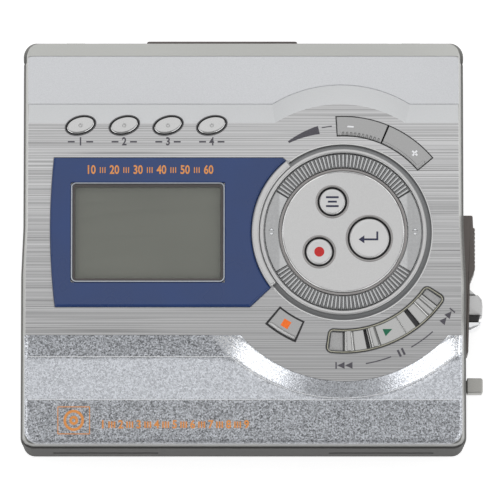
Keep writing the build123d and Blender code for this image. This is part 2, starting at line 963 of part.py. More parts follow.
# ------------------------------------------------------------ lid: keys round the dial
for name, place in zip(key_foot, oval_places):
    with BuildPart() as button:
        extrude(oval_outline(cap_z, place), amount=key_top_z - cap_z)
        fillet(button.faces().sort_by(Axis.Z)[-1].edges(), oval_edge_r)
        post(*key_foot[name], stem_foot_z, cap_z, stem_r)
    write(button, name)


def sector_key(name, bottom_z, inner_r, outer_r, start, end):
    """A key that is a stretch of a ring, with a gap all round it and a stem down to its switch."""
    slack = degrees(key_gap / ((inner_r + outer_r) / 2))
    with BuildPart() as key:
        extrude(
            ring_sector(
                bottom_z, inner_r + key_gap, outer_r - key_gap, start + slack, end - slack, key_corner_r,
            ),
            amount=key_top_z - bottom_z,
        )
        chamfer(key.faces().sort_by(Axis.Z)[-1].edges(), key_bevel)
        post(*key_foot[name], stem_foot_z, bottom_z, stem_r)
    write(key, name)


sector_key("volume_down_key", cap_z, volume_inner_r, volume_outer_r, volume_split, volume_end)
sector_key("volume_up_key", cap_z, volume_inner_r, volume_outer_r, volume_start, volume_split)
sector_key("stop_key", cap_z, stop_inner_r, stop_outer_r, stop_start, stop_end)

tray_in_r = channel_inner_r + channel_rim
tray_out_r = channel_outer_r - channel_rim
with BuildPart() as key_tray:
    extrude(
        ring_sector(
            roof_z, channel_inner_r, channel_outer_r, channel_start, channel_end, channel_corner_r,
        ),
        amount=face_z + channel_rim_rise - roof_z,
    )
    extrude(
        ring_sector(
            tray_floor_z, tray_in_r, tray_out_r, channel_start + channel_rim_angle,
            channel_end - channel_rim_angle, channel_corner_r - channel_rim,
        ),
        amount=big, mode=Mode.SUBTRACT,
    )
    for name in tray_keys:
        post(*key_foot[name], roof_z, tray_floor_z, stem_r + stem_clear, mode=Mode.SUBTRACT)
write(key_tray, "key_tray")

sector_key("rewind_key", tray_cap_z, tray_in_r, tray_out_r, rewind_start, rewind_end)
sector_key("play_key", tray_cap_z, tray_in_r, tray_out_r, play_start, play_end)
sector_key("forward_key", tray_cap_z, tray_in_r, tray_out_r, forward_start, forward_end)

# ------------------------------------------------------------ lid: board, switches and inner cover
lid_reach = half_w - side_swell - lid_wall - lid_draft
lid_board_z = lid_board_top - board_t
with BuildPart() as lid_board:
    extrude(face_region(lid_board_z, lid_board_inset, lid_reach), amount=board_t)
    for x, y in lid_screw_places:
        post(x, y, lid_board_z, lid_board_top, lid_screw_r + lid_screw_clear, mode=Mode.SUBTRACT)
write(lid_board, "lid_board")

with BuildPart() as dome_switches:
    for x, y in key_foot.values():
        post(x, y, lid_board_top, dome_z, stem_r + dome_skirt)
write(dome_switches, "dome_switches")

inner_cover_z = lid_board_z - inner_cover_t
with BuildPart() as lid_inner_cover:
    extrude(face_region(inner_cover_z, lid_cover_inset, lid_reach), amount=inner_cover_t)
    for x, y in lid_screw_places:
        post(x, y, inner_cover_z, lid_board_z, lid_screw_r + lid_screw_clear, mode=Mode.SUBTRACT)
write(lid_inner_cover, "lid_inner_cover")

with BuildPart() as lid_screws:
    for x, y in lid_screw_places:
        post(x, y, inner_cover_z - lid_screw_head_t, inner_cover_z, screw_head_r)
        post(x, y, inner_cover_z, roof_z + lid_screw_bite, lid_screw_r)
write(lid_screws, "lid_screws")

with BuildPart() as lid_hook:
    block(hook_x, hook_x + hook_t, hook_y - hook_w / 2, hook_y + hook_w / 2, hook_foot_z, lid_z + hook_pad_z1)
    block(hook_x, hook_x + 2 * hook_t, hook_y - hook_w / 2, hook_y + hook_w / 2,
          hook_foot_z, hook_foot_z + hook_t)
write(lid_hook, "lid_hook")

# ------------------------------------------------------------ disc holder, which tilts with the lid
holder_side = holder_half_w + holder_t
holder_rear_y = disc_rear_y + disc_clear
carriage_z = disc_roof_z + holder_t + carriage_lift
window_x0 = sled_start - head_window_margin
window_x1 = rods_end_x - rod_end_gap - head_window_margin
with BuildPart() as disc_holder:
    block(-holder_side, holder_side, disc_front_y, holder_rear_y + holder_stop_t,
          disc_z - holder_t, disc_roof_z + holder_t)
    block(-holder_half_w, holder_half_w, -big, holder_rear_y, disc_z, disc_roof_z, mode=Mode.SUBTRACT)
    block(holder_lip - holder_half_w, holder_half_w - holder_lip, -big, big, 0, disc_z, mode=Mode.SUBTRACT)
    # Window over the disc for the recording head, with a guide rail on each side of it
    block(window_x0, window_x1, spindle_y - head_window_half, spindle_y + head_window_half,
          disc_roof_z, big, mode=Mode.SUBTRACT)
    for side in (-1, 1):
        guide_y = spindle_y + side * (carriage_half + guide_gap + guide_t / 2)
        block(window_x0, window_x1 + head_window_margin, guide_y - guide_t / 2, guide_y + guide_t / 2,
              disc_roof_z + holder_t, carriage_z + carriage_t)
    # Thumb notch in the front edge
    post(0, disc_front_y, disc_roof_z - notch_depth, disc_roof_z + notch_depth, notch_r, mode=Mode.SUBTRACT)
    for x0, x1 in both_sides(ear_x0, ear_x1):
        block(x0, x1, holder_rear_y, hinge_y, hinge_z, hinge_z + barrel_r)
        bar_x(x0, x1, hinge_y, hinge_z, barrel_r)
        bar_x(x0, x1, hinge_y, hinge_z, hinge_pin_r + pin_clear, mode=Mode.SUBTRACT)
write(disc_holder, "disc_holder")

with BuildPart() as recording_head:
    block(sled_start, sled_start + carriage_l, spindle_y - carriage_half, spindle_y + carriage_half,
          carriage_z, carriage_z + carriage_t)
    post(head_x, spindle_y, disc_roof_z - head_reach, carriage_z, head_r)
write(recording_head, "recording_head")

# ------------------------------------------------------------ case: lower half
inner_half_w = half_w - case_wall
knob_half_l = open_knob_l / 2
knob_y = open_knob_rear_y - knob_half_l
neck_half_l = knob_half_l - open_neck_inset
hold_y = hold_knob_rear_y - hold_knob_l / 2
hold_neck_half = hold_knob_l / 2 - hold_neck_inset
slider_x = inner_half_w - side_swell - base_draft - slider_gap
jack_places = {"headphone_jack": headphone_y, "line_in_jack": line_in_y}
screw_places = [
    (screw_inset_x - half_w, half_d - screw_inset_y),
    (half_w - screw_inset_x, half_d - screw_inset_y),
    (half_w - screw_inset_x, screw_inset_y - half_d),
    (bay_screw_inset_x - half_w, bay_rear_y + bay_wall + bay_screw_gap),
]
damper_places = [
    (side * (half_w - damper_inset_x), y)
    for side in (-1, 1)
    for y in (damper_front_inset - half_d, half_d - damper_rear_inset)
]
board_post_places = [
    (x, y)
    for x in (-board_post_pitch, 0.0, board_post_pitch)
    for y in (half_d - board_post_rear, bay_rear_y + board_post_front)
]
damper_z = deck_foot - damper_h
bay_top_z = bay_roof_z + bay_wall
bay_end_x = cell_x1 + contact_t + bay_wall


def boss_foot(x, y):
    """Where a damper's boss starts: on the battery bay's roof, or else on the floor."""
    return bay_roof_z if x < bay_end_x and y < bay_rear_y else case_floor


def cut_screw_hole(x, y, top_z):
    post(x, y, -screw_sink, screw_head_t + screw_sink, screw_head_r + screw_head_clear, mode=Mode.SUBTRACT)
    post(x, y, 0, top_z, screw_r, mode=Mode.SUBTRACT)


def cut_knob_slot(x0, y, neck_half, travel):
    """The slot that a slider's neck passes through, long enough for its travel forwards."""
    room = knob_neck_h / 2 + knob_neck_clear
    block(x0, big / 2, y - neck_half - knob_neck_clear - travel, y + neck_half + knob_neck_clear,
          knob_z - room, knob_z + room, mode=Mode.SUBTRACT)


with BuildPart() as lower_case:
    add(lower_form(0))
    fillet(lower_case.faces().sort_by(Axis.Z)[0].edges(), bottom_edge_r)
    add(lower_form(case_floor, case_wall), mode=Mode.SUBTRACT)
    # Rear wall, cut down for the hinge, and the case's own knuckles
    block(-big / 2, big / 2, hinge_cut_y, big, wall_cut_z, big, mode=Mode.SUBTRACT)
    base_spans = [(-middle_barrel_half, middle_barrel_half)] + both_sides(end_knuckle_x0, half_w)
    add(hinge_knuckles(base_spans, wall_cut_z - web_foot, hinge_z, hinge_pin_r))
    # Battery bay: a partition behind the cell, one at its inner end, and a roof over it
    block(door_pin_x + door_knuckle_r + door_seat, bay_end_x, bay_rear_y, bay_rear_y + bay_wall,
          case_floor, bay_top_z)
    block(cell_x1 + contact_t, bay_end_x, bay_front_y - bay_lap, bay_rear_y, case_floor, bay_top_z)
    block(door_pin_x - overlap, bay_end_x, bay_front_y - bay_lap, bay_rear_y + bay_wall,
          bay_roof_z, bay_top_z)
    block(door_pin_x - overlap, door_pin_x + door_ear, bay_rear_y, door_pin_y + door_ear,
          bay_roof_z, bay_top_z)
    # Bosses under the chassis and round the case screws
    for x, y in damper_places:
        post(x, y, boss_foot(x, y), damper_z, damper_r)
    for x, y in screw_places:
        post(x, y, case_floor - overlap, main_board_z, boss_r)
        cut_screw_hole(x, y, main_board_z)
    for x, y in board_post_places:
        post(x, y, case_floor - overlap, main_board_z, board_post_r)
    # Battery door opening in the left wall
    block(-big, cell_x0 + bay_mouth, bay_front_y, door_pin_y + door_knuckle_r + door_gap,
          case_floor, bay_roof_z, mode=Mode.SUBTRACT)
    post(door_pin_x, door_pin_y, case_floor, bay_roof_z, door_knuckle_r + door_gap, mode=Mode.SUBTRACT)
    post(door_pin_x, door_pin_y, case_floor - door_pin_bite, bay_top_z, door_pin_r, mode=Mode.SUBTRACT)
    # Sockets: two round ones on the left and the power inlet at the rear
    for y in jack_places.values():
        bar_x(-big / 2, jack_seat - slider_x, y, jack_z, jack_collar_r + jack_fit, mode=Mode.SUBTRACT)
    block(power_x - power_w / 2, power_x + power_w / 2, inner_half_w / 2, big, jack_z - power_h / 2,
          jack_z + power_h / 2, mode=Mode.SUBTRACT)
    # Slots for the two sliders in the right wall
    cut_knob_slot(inner_half_w - slot_reach, knob_y, neck_half_l, open_travel)
    cut_knob_slot(inner_half_w - slot_reach, hold_y, hold_neck_half, hold_travel)
    # Grip grooves in the front wall
    for side in (-1, 1):
        block(side * groove_x - groove_l / 2, side * groove_x + groove_l / 2, -big,
              groove_depth + groove_wall_inset - half_d, groove_z - groove_h / 2, groove_z + groove_h / 2,
              mode=Mode.SUBTRACT)
write(lower_case, "lower_case")

with BuildPart() as hinge_pins:
    for side in (-1, 1):
        near = side * (middle_barrel_half - pin_bite)
        far = side * pin_end_x
        bar_x(min(near, far), max(near, far), hinge_y, hinge_z, hinge_pin_r)
    post(door_pin_x, door_pin_y, case_floor - door_pin_bite, bay_top_z, door_pin_r)
write(hinge_pins, "hinge_pins")

with BuildPart() as case_screws:
    for x, y in screw_places:
        post(x, y, screw_sink, screw_sink + screw_head_t, screw_head_r)
        post(x, y, screw_sink + screw_head_t, main_board_z - screw_end_gap, screw_r)
        with Locations((x, y, screw_sink)):
            Box(screw_slot_l, screw_slot_w, screw_slot_h, mode=Mode.SUBTRACT)
            Box(screw_slot_w, screw_slot_l, screw_slot_h, mode=Mode.SUBTRACT)
write(case_screws, "case_screws")

# ------------------------------------------------------------ battery and its door
with BuildPart() as battery_cell:
    block(cell_x0, cell_x1, cell_y - cell_w / 2, cell_y + cell_w / 2, cell_z, cell_z + cell_t)
    fillet(battery_cell.edges().filter_by(Axis.X), cell_edge_r)
write(battery_cell, "battery_cell")

with BuildPart() as battery_contacts:
    for y in (cell_y - cell_w / 4, cell_y + cell_w / 4):
        block(cell_x1, cell_x1 + contact_t, y - contact_w / 2, y + contact_w / 2,
              case_floor + contact_inset_z, bay_roof_z - contact_inset_z)
write(battery_contacts, "battery_contacts")

door_x0 = door_pin_x - door_knuckle_r + door_inset
with BuildPart() as battery_door:
    block(door_x0, door_x0 + door_t, bay_front_y + door_gap, door_pin_y, case_floor + door_gap,
          bay_roof_z - door_gap)
    post(door_pin_x, door_pin_y, case_floor + door_gap, bay_roof_z - door_gap, door_knuckle_r)
    block(-big, door_x0, -big, big, 0, big, mode=Mode.SUBTRACT)
    for i in range(3):
        groove_foot = case_floor + rib_z + i * rib_pitch
        block(door_x0, door_x0 + rib_depth, bay_front_y + rib_inset, bay_front_y + rib_inset + rib_l,
              groove_foot, groove_foot + rib_w, mode=Mode.SUBTRACT)
    post(door_pin_x, door_pin_y, 0, big, door_pin_r + pin_clear, mode=Mode.SUBTRACT)
write(battery_door, "battery_door")

# ------------------------------------------------------------ boards and sockets
with BuildPart() as main_board:
    block(board_margin - inner_half_w + side_swell, inner_half_w - side_swell - board_margin,
          bay_rear_y + bay_wall + board_bay_gap, half_d - case_wall - board_margin,
          main_board_z, main_board_top)
    fillet(main_board.edges().filter_by(Axis.Z), rear_corner_r)
    for x, y in damper_places + [(door_pin_x, door_pin_y)]:
        post(x, y, 0, big, damper_r + board_damper_gap, mode=Mode.SUBTRACT)
    for x, y in screw_places:
        post(x, y, 0, big, screw_r, mode=Mode.SUBTRACT)
write(main_board, "main_board")

# Each chip's middle, and its size along X, Y and Z
chips = {
    "processor": ((-16.0, bay_rear_y + 10.4), (14.0, 14.0, 1.4)),
    "sound_coder": ((-18.0, bay_rear_y + 29.4), (10.0, 10.0, 1.2)),
    "memory": ((2.0, half_d - 17.2), (12.0, 8.0, 1.4)),
    "drive_control": ((24.0, bay_rear_y + 10.4), (9.0, 9.0, 1.2)),
    "amplifier": ((-4.0, half_d - 27.2), (6.0, 4.0, 1.0)),
    "power_coil": ((12.0, half_d - 8.2), (5.0, 5.0, 2.2)),
}
with BuildPart() as board_chips:
    for (x, y), (w, d, h) in chips.values():
        block(x - w / 2, x + w / 2, y - d / 2, y + d / 2, main_board_top, main_board_top + h)
write(board_chips, "board_chips")

jack_x0 = side_swell + jack_recess - half_w
for name, y in jack_places.items():
    with BuildPart() as jack:
        bar_x(jack_x0, -slider_x, y, jack_z, jack_collar_r)
        block(-slider_x, jack_x0 + jack_l + jack_end, y - jack_body / 2, y + jack_body / 2,
              main_board_top, jack_z + jack_body / 2)
        bar_x(jack_x0, jack_x0 + jack_l, y, jack_z, jack_r, mode=Mode.SUBTRACT)
    write(jack, name)

power_x0 = power_x - power_w / 2
power_x1 = power_x + power_w / 2
power_z0 = jack_z - power_h / 2
power_z1 = jack_z + power_h / 2
power_y0 = half_d - power_l
power_y1 = half_d - power_recess
pin_foot_y = power_y0 + power_pin_seat
pin_tip_y = half_d - power_pin_inset
with BuildPart() as dc_jack:
    block(power_x0, power_x1, power_y0, power_y1, power_z0, power_z1)
    block(power_x0, power_x1, power_y0, half_d - case_wall - base_draft, main_board_top, power_z1)
    block(power_x0 + power_wall, power_x1 - power_wall, power_y0 + power_back_t, power_y1,
          power_z0 + power_wall, power_z1 - power_wall, mode=Mode.SUBTRACT)
    with Locations((power_x, (pin_foot_y + pin_tip_y) / 2, jack_z)):
        Cylinder(power_pin_r, pin_tip_y - pin_foot_y, rotation=(90, 0, 0))
write(dc_jack, "dc_jack")

# ------------------------------------------------------------ chassis and disc drive
deck_half_w = holder_half_w + deck_side
with BuildPart() as chassis:
    block(-deck_half_w, deck_half_w, bay_front_y, hinge_cut_y - deck_rear_gap, deck_foot, deck_z)
    fillet(chassis.edges().filter_by(Axis.Z), front_corner_r)
    # Openings for the turntable's shaft and the sled's turret
    post(0, spindle_y, 0, big, shaft_r + shaft_room, mode=Mode.SUBTRACT)
    block(bracket_x0 + bracket_t + turret_end_gap, rods_end_x - rod_end_gap - bracket_t,
          spindle_y - turret_w / 2 - turret_room, spindle_y + turret_w / 2 + turret_room,
          0, big, mode=Mode.SUBTRACT)
    # Rests under the disc's corners
    for x in (-disc_rest_x, disc_rest_x):
        for y in (disc_front_y + disc_rest_inset, disc_rear_y - disc_rest_inset):
            post(x, y, deck_z, disc_z - disc_rest_gap, disc_rest_r)
    # Brackets that hold the guide rods, and the drive gear's axle
    for x in (bracket_x0, rods_end_x):
        for y in (rods_front_y, rods_rear_y):
            block(x, x + bracket_t, y - bracket_out, y + bracket_in, rod_z - bracket_drop, deck_foot)
            bar_x(x, x + bracket_t, y, rod_z, rod_r, mode=Mode.SUBTRACT)
    post(gear_x, gear_y, sled_floor - axle_end, deck_foot, axle_r)
write(chassis, "chassis")

with BuildPart() as chassis_dampers:
    for x, y in damper_places:
        post(x, y, damper_z, deck_foot, damper_r)
        post(x, y, damper_z, deck_foot, screw_r, mode=Mode.SUBTRACT)
write(chassis_dampers, "chassis_dampers")

with BuildPart() as guide_rods:
    for y in (rods_front_y, rods_rear_y):
        bar_x(bracket_x0, rods_end_x + bracket_t, y, rod_z, rod_r)
write(guide_rods, "guide_rods")

motor_z = deck_foot - motor_h
with BuildPart() as spindle_motor:
    post(0, spindle_y, motor_z, deck_foot, motor_r)
    fillet(spindle_motor.faces().sort_by(Axis.Z)[0].edges(), motor_edge_r)
    post(0, spindle_y, motor_z + motor_end, deck_foot, shaft_r + run_clear, mode=Mode.SUBTRACT)
write(spindle_motor, "spindle_motor")

with BuildPart() as turntable:
    post(0, spindle_y, motor_z + motor_end + shaft_end_gap, deck_z + turntable_gap, shaft_r)
    post(0, spindle_y, deck_z + turntable_gap, disc_z - table_sink, turntable_r)
    post(0, spindle_y, disc_z - table_sink, disc_z + hub_bite, hub_r)
    chamfer(turntable.faces().sort_by(Axis.Z)[-1].edges(), hub_bevel)
write(turntable, "turntable")

rack_x1 = gear_x + rack_lead * tooth_pitch
rack_x0 = rack_x1 - rack_teeth * tooth_pitch
turret_top_z = deck_z + turret_rise
with BuildPart() as pickup_sled:
    block(sled_start, sled_start + sled_l, spindle_y - sled_side, spindle_y + sled_side, sled_floor,
          sled_floor + sled_h)
    for y in (rods_front_y, rods_rear_y):
        bar_x(sled_start, sled_start + sled_l, y, rod_z, rod_r + 2 * run_clear, mode=Mode.SUBTRACT)
    block(head_x - turret_w / 2, head_x + turret_w / 2, spindle_y - turret_w / 2, spindle_y + turret_w / 2,
          sled_floor + sled_h, turret_top_z)
    # The rack, beside the sled and reaching back past the motor
    block(sled_start, sled_start + sled_l, spindle_y + sled_side, rack_pitch_y - rack_root, sled_floor,
          sled_floor + rack_h)
    block(rack_x0, rack_x1, rack_pitch_y - rack_root - rack_w, rack_pitch_y - rack_root, sled_floor,
          sled_floor + rack_h)
    for i in range(rack_teeth):
        tooth_x = rack_x1 - (i + 0.5) * tooth_pitch
        block(tooth_x - tooth_w / 2, tooth_x + tooth_w / 2, rack_pitch_y - rack_root - overlap,
              rack_pitch_y + rack_tip, sled_floor, sled_floor + rack_h)
write(pickup_sled, "pickup_sled")

with BuildPart() as objective_lens:
    post(head_x, spindle_y, turret_top_z, turret_top_z + lens_rise, lens_r)
    fillet(objective_lens.faces().sort_by(Axis.Z)[-1].edges(), lens_edge_r)
write(objective_lens, "objective_lens")

# A rack tooth stands level with the gear's axle, so the small gear has a gap there, and its wheel a tooth
# that fills a gap of the motor's pinion
with BuildPart() as drive_gear:
    toothed_wheel(gear_x, gear_y, sled_floor, wheel_z, rack_pinion_teeth, -90 + 180 / rack_pinion_teeth)
    toothed_wheel(gear_x, gear_y, wheel_z, wheel_z + gear_h, wheel_teeth, pinion_angle)
    post(gear_x, gear_y, 0, big, axle_r + run_clear, mode=Mode.SUBTRACT)
write(drive_gear, "drive_gear")

sled_motor_top = wheel_z - sled_motor_gap
sled_motor_z = sled_motor_top - sled_motor_h
with BuildPart() as motor_pinion:
    toothed_wheel(pinion_x, pinion_y, wheel_z, wheel_z + gear_h, motor_teeth,
                  pinion_angle + 180 + 180 / motor_teeth)
    post(pinion_x, pinion_y, sled_motor_z + sled_motor_end + shaft_end_gap, wheel_z, motor_shaft_r)
write(motor_pinion, "motor_pinion")

with BuildPart() as sled_motor:
    post(pinion_x, pinion_y, sled_motor_z, sled_motor_top, sled_motor_r)
    post_offset = sled_motor_r - sled_motor_post_inset
    for x, y in ((pinion_x + post_offset, pinion_y), (pinion_x, pinion_y + post_offset)):
        post(x, y, sled_motor_top, deck_foot, sled_motor_post_r)
    post(pinion_x, pinion_y, sled_motor_z + sled_motor_end, sled_motor_top,
         motor_shaft_r + run_clear, mode=Mode.SUBTRACT)
write(sled_motor, "sled_motor")

# ------------------------------------------------------------ controls on the right, and the rear cover strip
with BuildPart() as side_rail:
    with BuildSketch(level(rail_foot_z)):
        with BuildLine():
            Polyline(
                (inner_half_w, rail_rear_y), (half_w - side_swell + rail_t, rail_rear_y),
                (half_w + rail_t, rail_taper_y), (half_w + rail_thin_t + rail_step_t, rail_step_y),
                (half_w + rail_thin_t, rail_front_y + rail_end_round), (half_w + rail_end_t, rail_front_y),
                (inner_half_w, rail_front_y), close=True,
            )
        make_face()
    extrude(amount=rail_top_z - rail_foot_z)
    grip_edges = side_rail.edges().filter_by(Axis.Z).filter_by(lambda e: e.center().Y > rail_step_y + overlap)
    fillet(grip_edges.sort_by(Axis.X)[-2:], rail_corner_r)
    add(lower_form(0), mode=Mode.SUBTRACT)
    cut_knob_slot(inner_half_w, knob_y, neck_half_l, open_travel)
write(side_rail, "side_rail")

knob_x0 = half_w + rail_thin_t + open_knob_gap
with BuildPart() as open_knob:
    block(knob_x0, half_w + open_knob_t, knob_y - knob_half_l, knob_y + knob_half_l,
          knob_z - open_knob_h / 2, knob_z + open_knob_h / 2)
    chamfer(open_knob.faces().sort_by(Axis.X)[-1].edges(), open_knob_bevel)
    block(slider_x, knob_x0, knob_y - neck_half_l, knob_y + neck_half_l,
          knob_z - knob_neck_h / 2, knob_z + knob_neck_h / 2)
write(open_knob, "open_knob")

latch_end_y = hook_y - hook_w / 2 - latch_clear
with BuildPart() as latch_bar:
    block(slider_x - latch_t, slider_x, knob_y - neck_half_l - latch_tail, latch_end_y,
          knob_z - latch_h / 2, knob_z + latch_h / 2)
    block(slider_x - latch_t, slider_x, latch_end_y - latch_nose_l, latch_end_y,
          knob_z, base_h - latch_top_gap)
write(latch_bar, "latch_bar")

hold_x0 = half_w + hold_knob_gap
with BuildPart() as hold_knob:
    block(hold_x0, half_w + hold_knob_t, hold_y - hold_knob_l / 2, hold_y + hold_knob_l / 2,
          knob_z - hold_knob_h / 2, knob_z + hold_knob_h / 2)
    fillet(hold_knob.faces().sort_by(Axis.X)[-1].edges(), hold_knob_edge_r)
    block(slider_x, hold_x0, hold_y - hold_neck_half, hold_y + hold_neck_half,
          knob_z - knob_neck_h / 2, knob_z + knob_neck_h / 2)
    block(slider_x - hold_clip_t, slider_x, hold_y - hold_knob_l / 2, hold_y + hold_knob_l / 2,
          knob_z - hold_knob_h / 2, knob_z + hold_knob_h / 2)
write(hold_knob, "hold_knob")

with BuildPart() as terminal_cover:
    block(terminal_x - terminal_w / 2, terminal_x + terminal_w / 2, half_d - base_draft, half_d + terminal_t,
          terminal_z - terminal_h / 2, terminal_z + terminal_h / 2)
    fillet(terminal_cover.faces().sort_by(Axis.Y)[-1].edges(), terminal_edge_r)
    add(lower_form(0), mode=Mode.SUBTRACT)
write(terminal_cover, "terminal_cover")
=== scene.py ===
"""The looks of a portable disc player: its finishes, dial, keys, prints and grips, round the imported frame.

Lengths are in millimetres until a piece is made, and the pieces themselves are in metres. +X is the player's
right, -Y its front and +Z up.
"""

import json
from contextlib import contextmanager
from math import cos, pi, radians, sin

import bmesh
import bpy
import numpy as np
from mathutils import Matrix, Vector
from mathutils.bvhtree import BVHTree


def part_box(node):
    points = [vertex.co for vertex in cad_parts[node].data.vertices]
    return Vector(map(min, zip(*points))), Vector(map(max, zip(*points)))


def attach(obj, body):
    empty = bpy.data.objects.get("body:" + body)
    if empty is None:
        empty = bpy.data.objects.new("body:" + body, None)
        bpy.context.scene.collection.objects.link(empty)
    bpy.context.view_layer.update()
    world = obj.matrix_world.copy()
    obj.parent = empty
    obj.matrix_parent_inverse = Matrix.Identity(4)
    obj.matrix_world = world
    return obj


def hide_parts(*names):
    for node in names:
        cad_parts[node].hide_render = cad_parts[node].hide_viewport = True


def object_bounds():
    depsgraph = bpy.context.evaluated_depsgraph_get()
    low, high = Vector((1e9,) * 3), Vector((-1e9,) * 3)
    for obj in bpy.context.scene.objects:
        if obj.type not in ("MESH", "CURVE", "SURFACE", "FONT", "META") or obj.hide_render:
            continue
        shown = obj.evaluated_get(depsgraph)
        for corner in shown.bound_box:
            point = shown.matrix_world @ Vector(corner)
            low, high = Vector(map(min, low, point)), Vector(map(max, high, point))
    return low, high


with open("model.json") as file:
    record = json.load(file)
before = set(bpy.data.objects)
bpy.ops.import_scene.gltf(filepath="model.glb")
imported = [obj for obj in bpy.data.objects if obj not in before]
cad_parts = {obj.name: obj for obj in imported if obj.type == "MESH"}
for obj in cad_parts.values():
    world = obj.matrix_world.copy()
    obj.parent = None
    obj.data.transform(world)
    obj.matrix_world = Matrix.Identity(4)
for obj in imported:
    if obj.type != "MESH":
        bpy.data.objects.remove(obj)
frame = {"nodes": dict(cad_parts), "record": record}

cad_box = [list(corner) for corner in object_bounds()]
MM = 0.001


def linked(name, data):
    """A new object in the scene."""
    made = bpy.data.objects.new(name, data)
    bpy.context.scene.collection.objects.link(made)
    return made


def aimed(holder, place, target):
    """Puts holder at place, looking at target, with the picture's top towards +Y or up."""
    holder.location = place
    holder.rotation_euler = (Vector(target) - Vector(place)).to_track_quat("-Z", "Y").to_euler()


# ------------------------------------------------------------ camera
CAMERA_TILT = 82.5
CAMERA_DISTANCE = 1500.0
CAMERA_TARGET = (1.25, -2.04, 24.0)
CAMERA_LENS = 570.0
CAMERA_SENSOR = 36.0
CAMERA_CLIP = (0.01, 20.0)


def add_camera():
    camera = linked("camera", bpy.data.cameras.new("camera"))
    camera.data.lens = CAMERA_LENS
    camera.data.sensor_width = CAMERA_SENSOR
    camera.data.clip_start, camera.data.clip_end = CAMERA_CLIP
    target = Vector(CAMERA_TARGET) * MM
    tilt = radians(CAMERA_TILT)
    aimed(camera, target + Vector((0, -cos(tilt), sin(tilt))) * CAMERA_DISTANCE * MM, target)
    bpy.context.scene.camera = camera


add_camera()


# ------------------------------------------------------------ sizes, bodies and slots from the frame
def corners(node):
    """The lowest and highest corner of a CAD node, in millimetres."""
    low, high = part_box(node)
    return np.array(low) / MM, np.array(high) / MM


def top_of(node):
    return corners(node)[1][2]


def centre_of(node):
    """X and Y of a CAD node's middle."""
    low, high = corners(node)
    return (low + high)[:2] / 2


jog_low, jog_high = corners("jog_ring")
jog_outer = (jog_high - jog_low)[0] / 2
dial_x, dial_y = dial_centre = centre_of("jog_ring")
dial_top = jog_high[2]
disc_low, disc_high = corners("dial_disc")
dial_floor = disc_low[2]
disc_reach = disc_high[0] - dial_x
face_z = top_of("face_plate")
lid_foot = corners("lid_shell")[0][2]

slot_of_node = {row["node"]: row["material_slot"] for row in frame["record"]["subparts"]}
body_of_node = {
    node: body for body, row in frame["record"]["behaviour"]["bodies"].items()
    for node in (row if isinstance(row, list) else row["nodes"])
}

# Sizes that both a form and its paint follow. An arc is its centre from the dial's, and its radius.
KNURL_PITCH = 3.0
KNURL_DEPTH = 0.36
CREASE_Y = -30.5
PLATE_FRONT_Y = -18.4
SLOPE_RUN = 3.9
SLOPE_FOOT_Y = PLATE_FRONT_Y - SLOPE_RUN
TOP_ARC = (0.2, -2.2, 26.2)
FOOT_ARC = (-0.15, 0.8, 32.2)


# ------------------------------------------------------------ finishes
FLECK_SIZE = 0.16
DRIFT_SIZE = 28.0


def feed(tree, socket, value):
    """Links another node's output to a socket, or sets its constant."""
    if isinstance(value, bpy.types.NodeSocket):
        tree.links.new(value, socket)
    else:
        socket.default_value = value


def add_node(tree, kind, inputs=(), **settings):
    """A node with its settings, and its inputs by name or number, each a value or another node's output."""
    node = tree.nodes.new(kind)
    for setting, value in settings.items():
        setattr(node, setting, value)
    for socket, value in dict(inputs).items():
        feed(tree, node.inputs[socket], value)
    return node


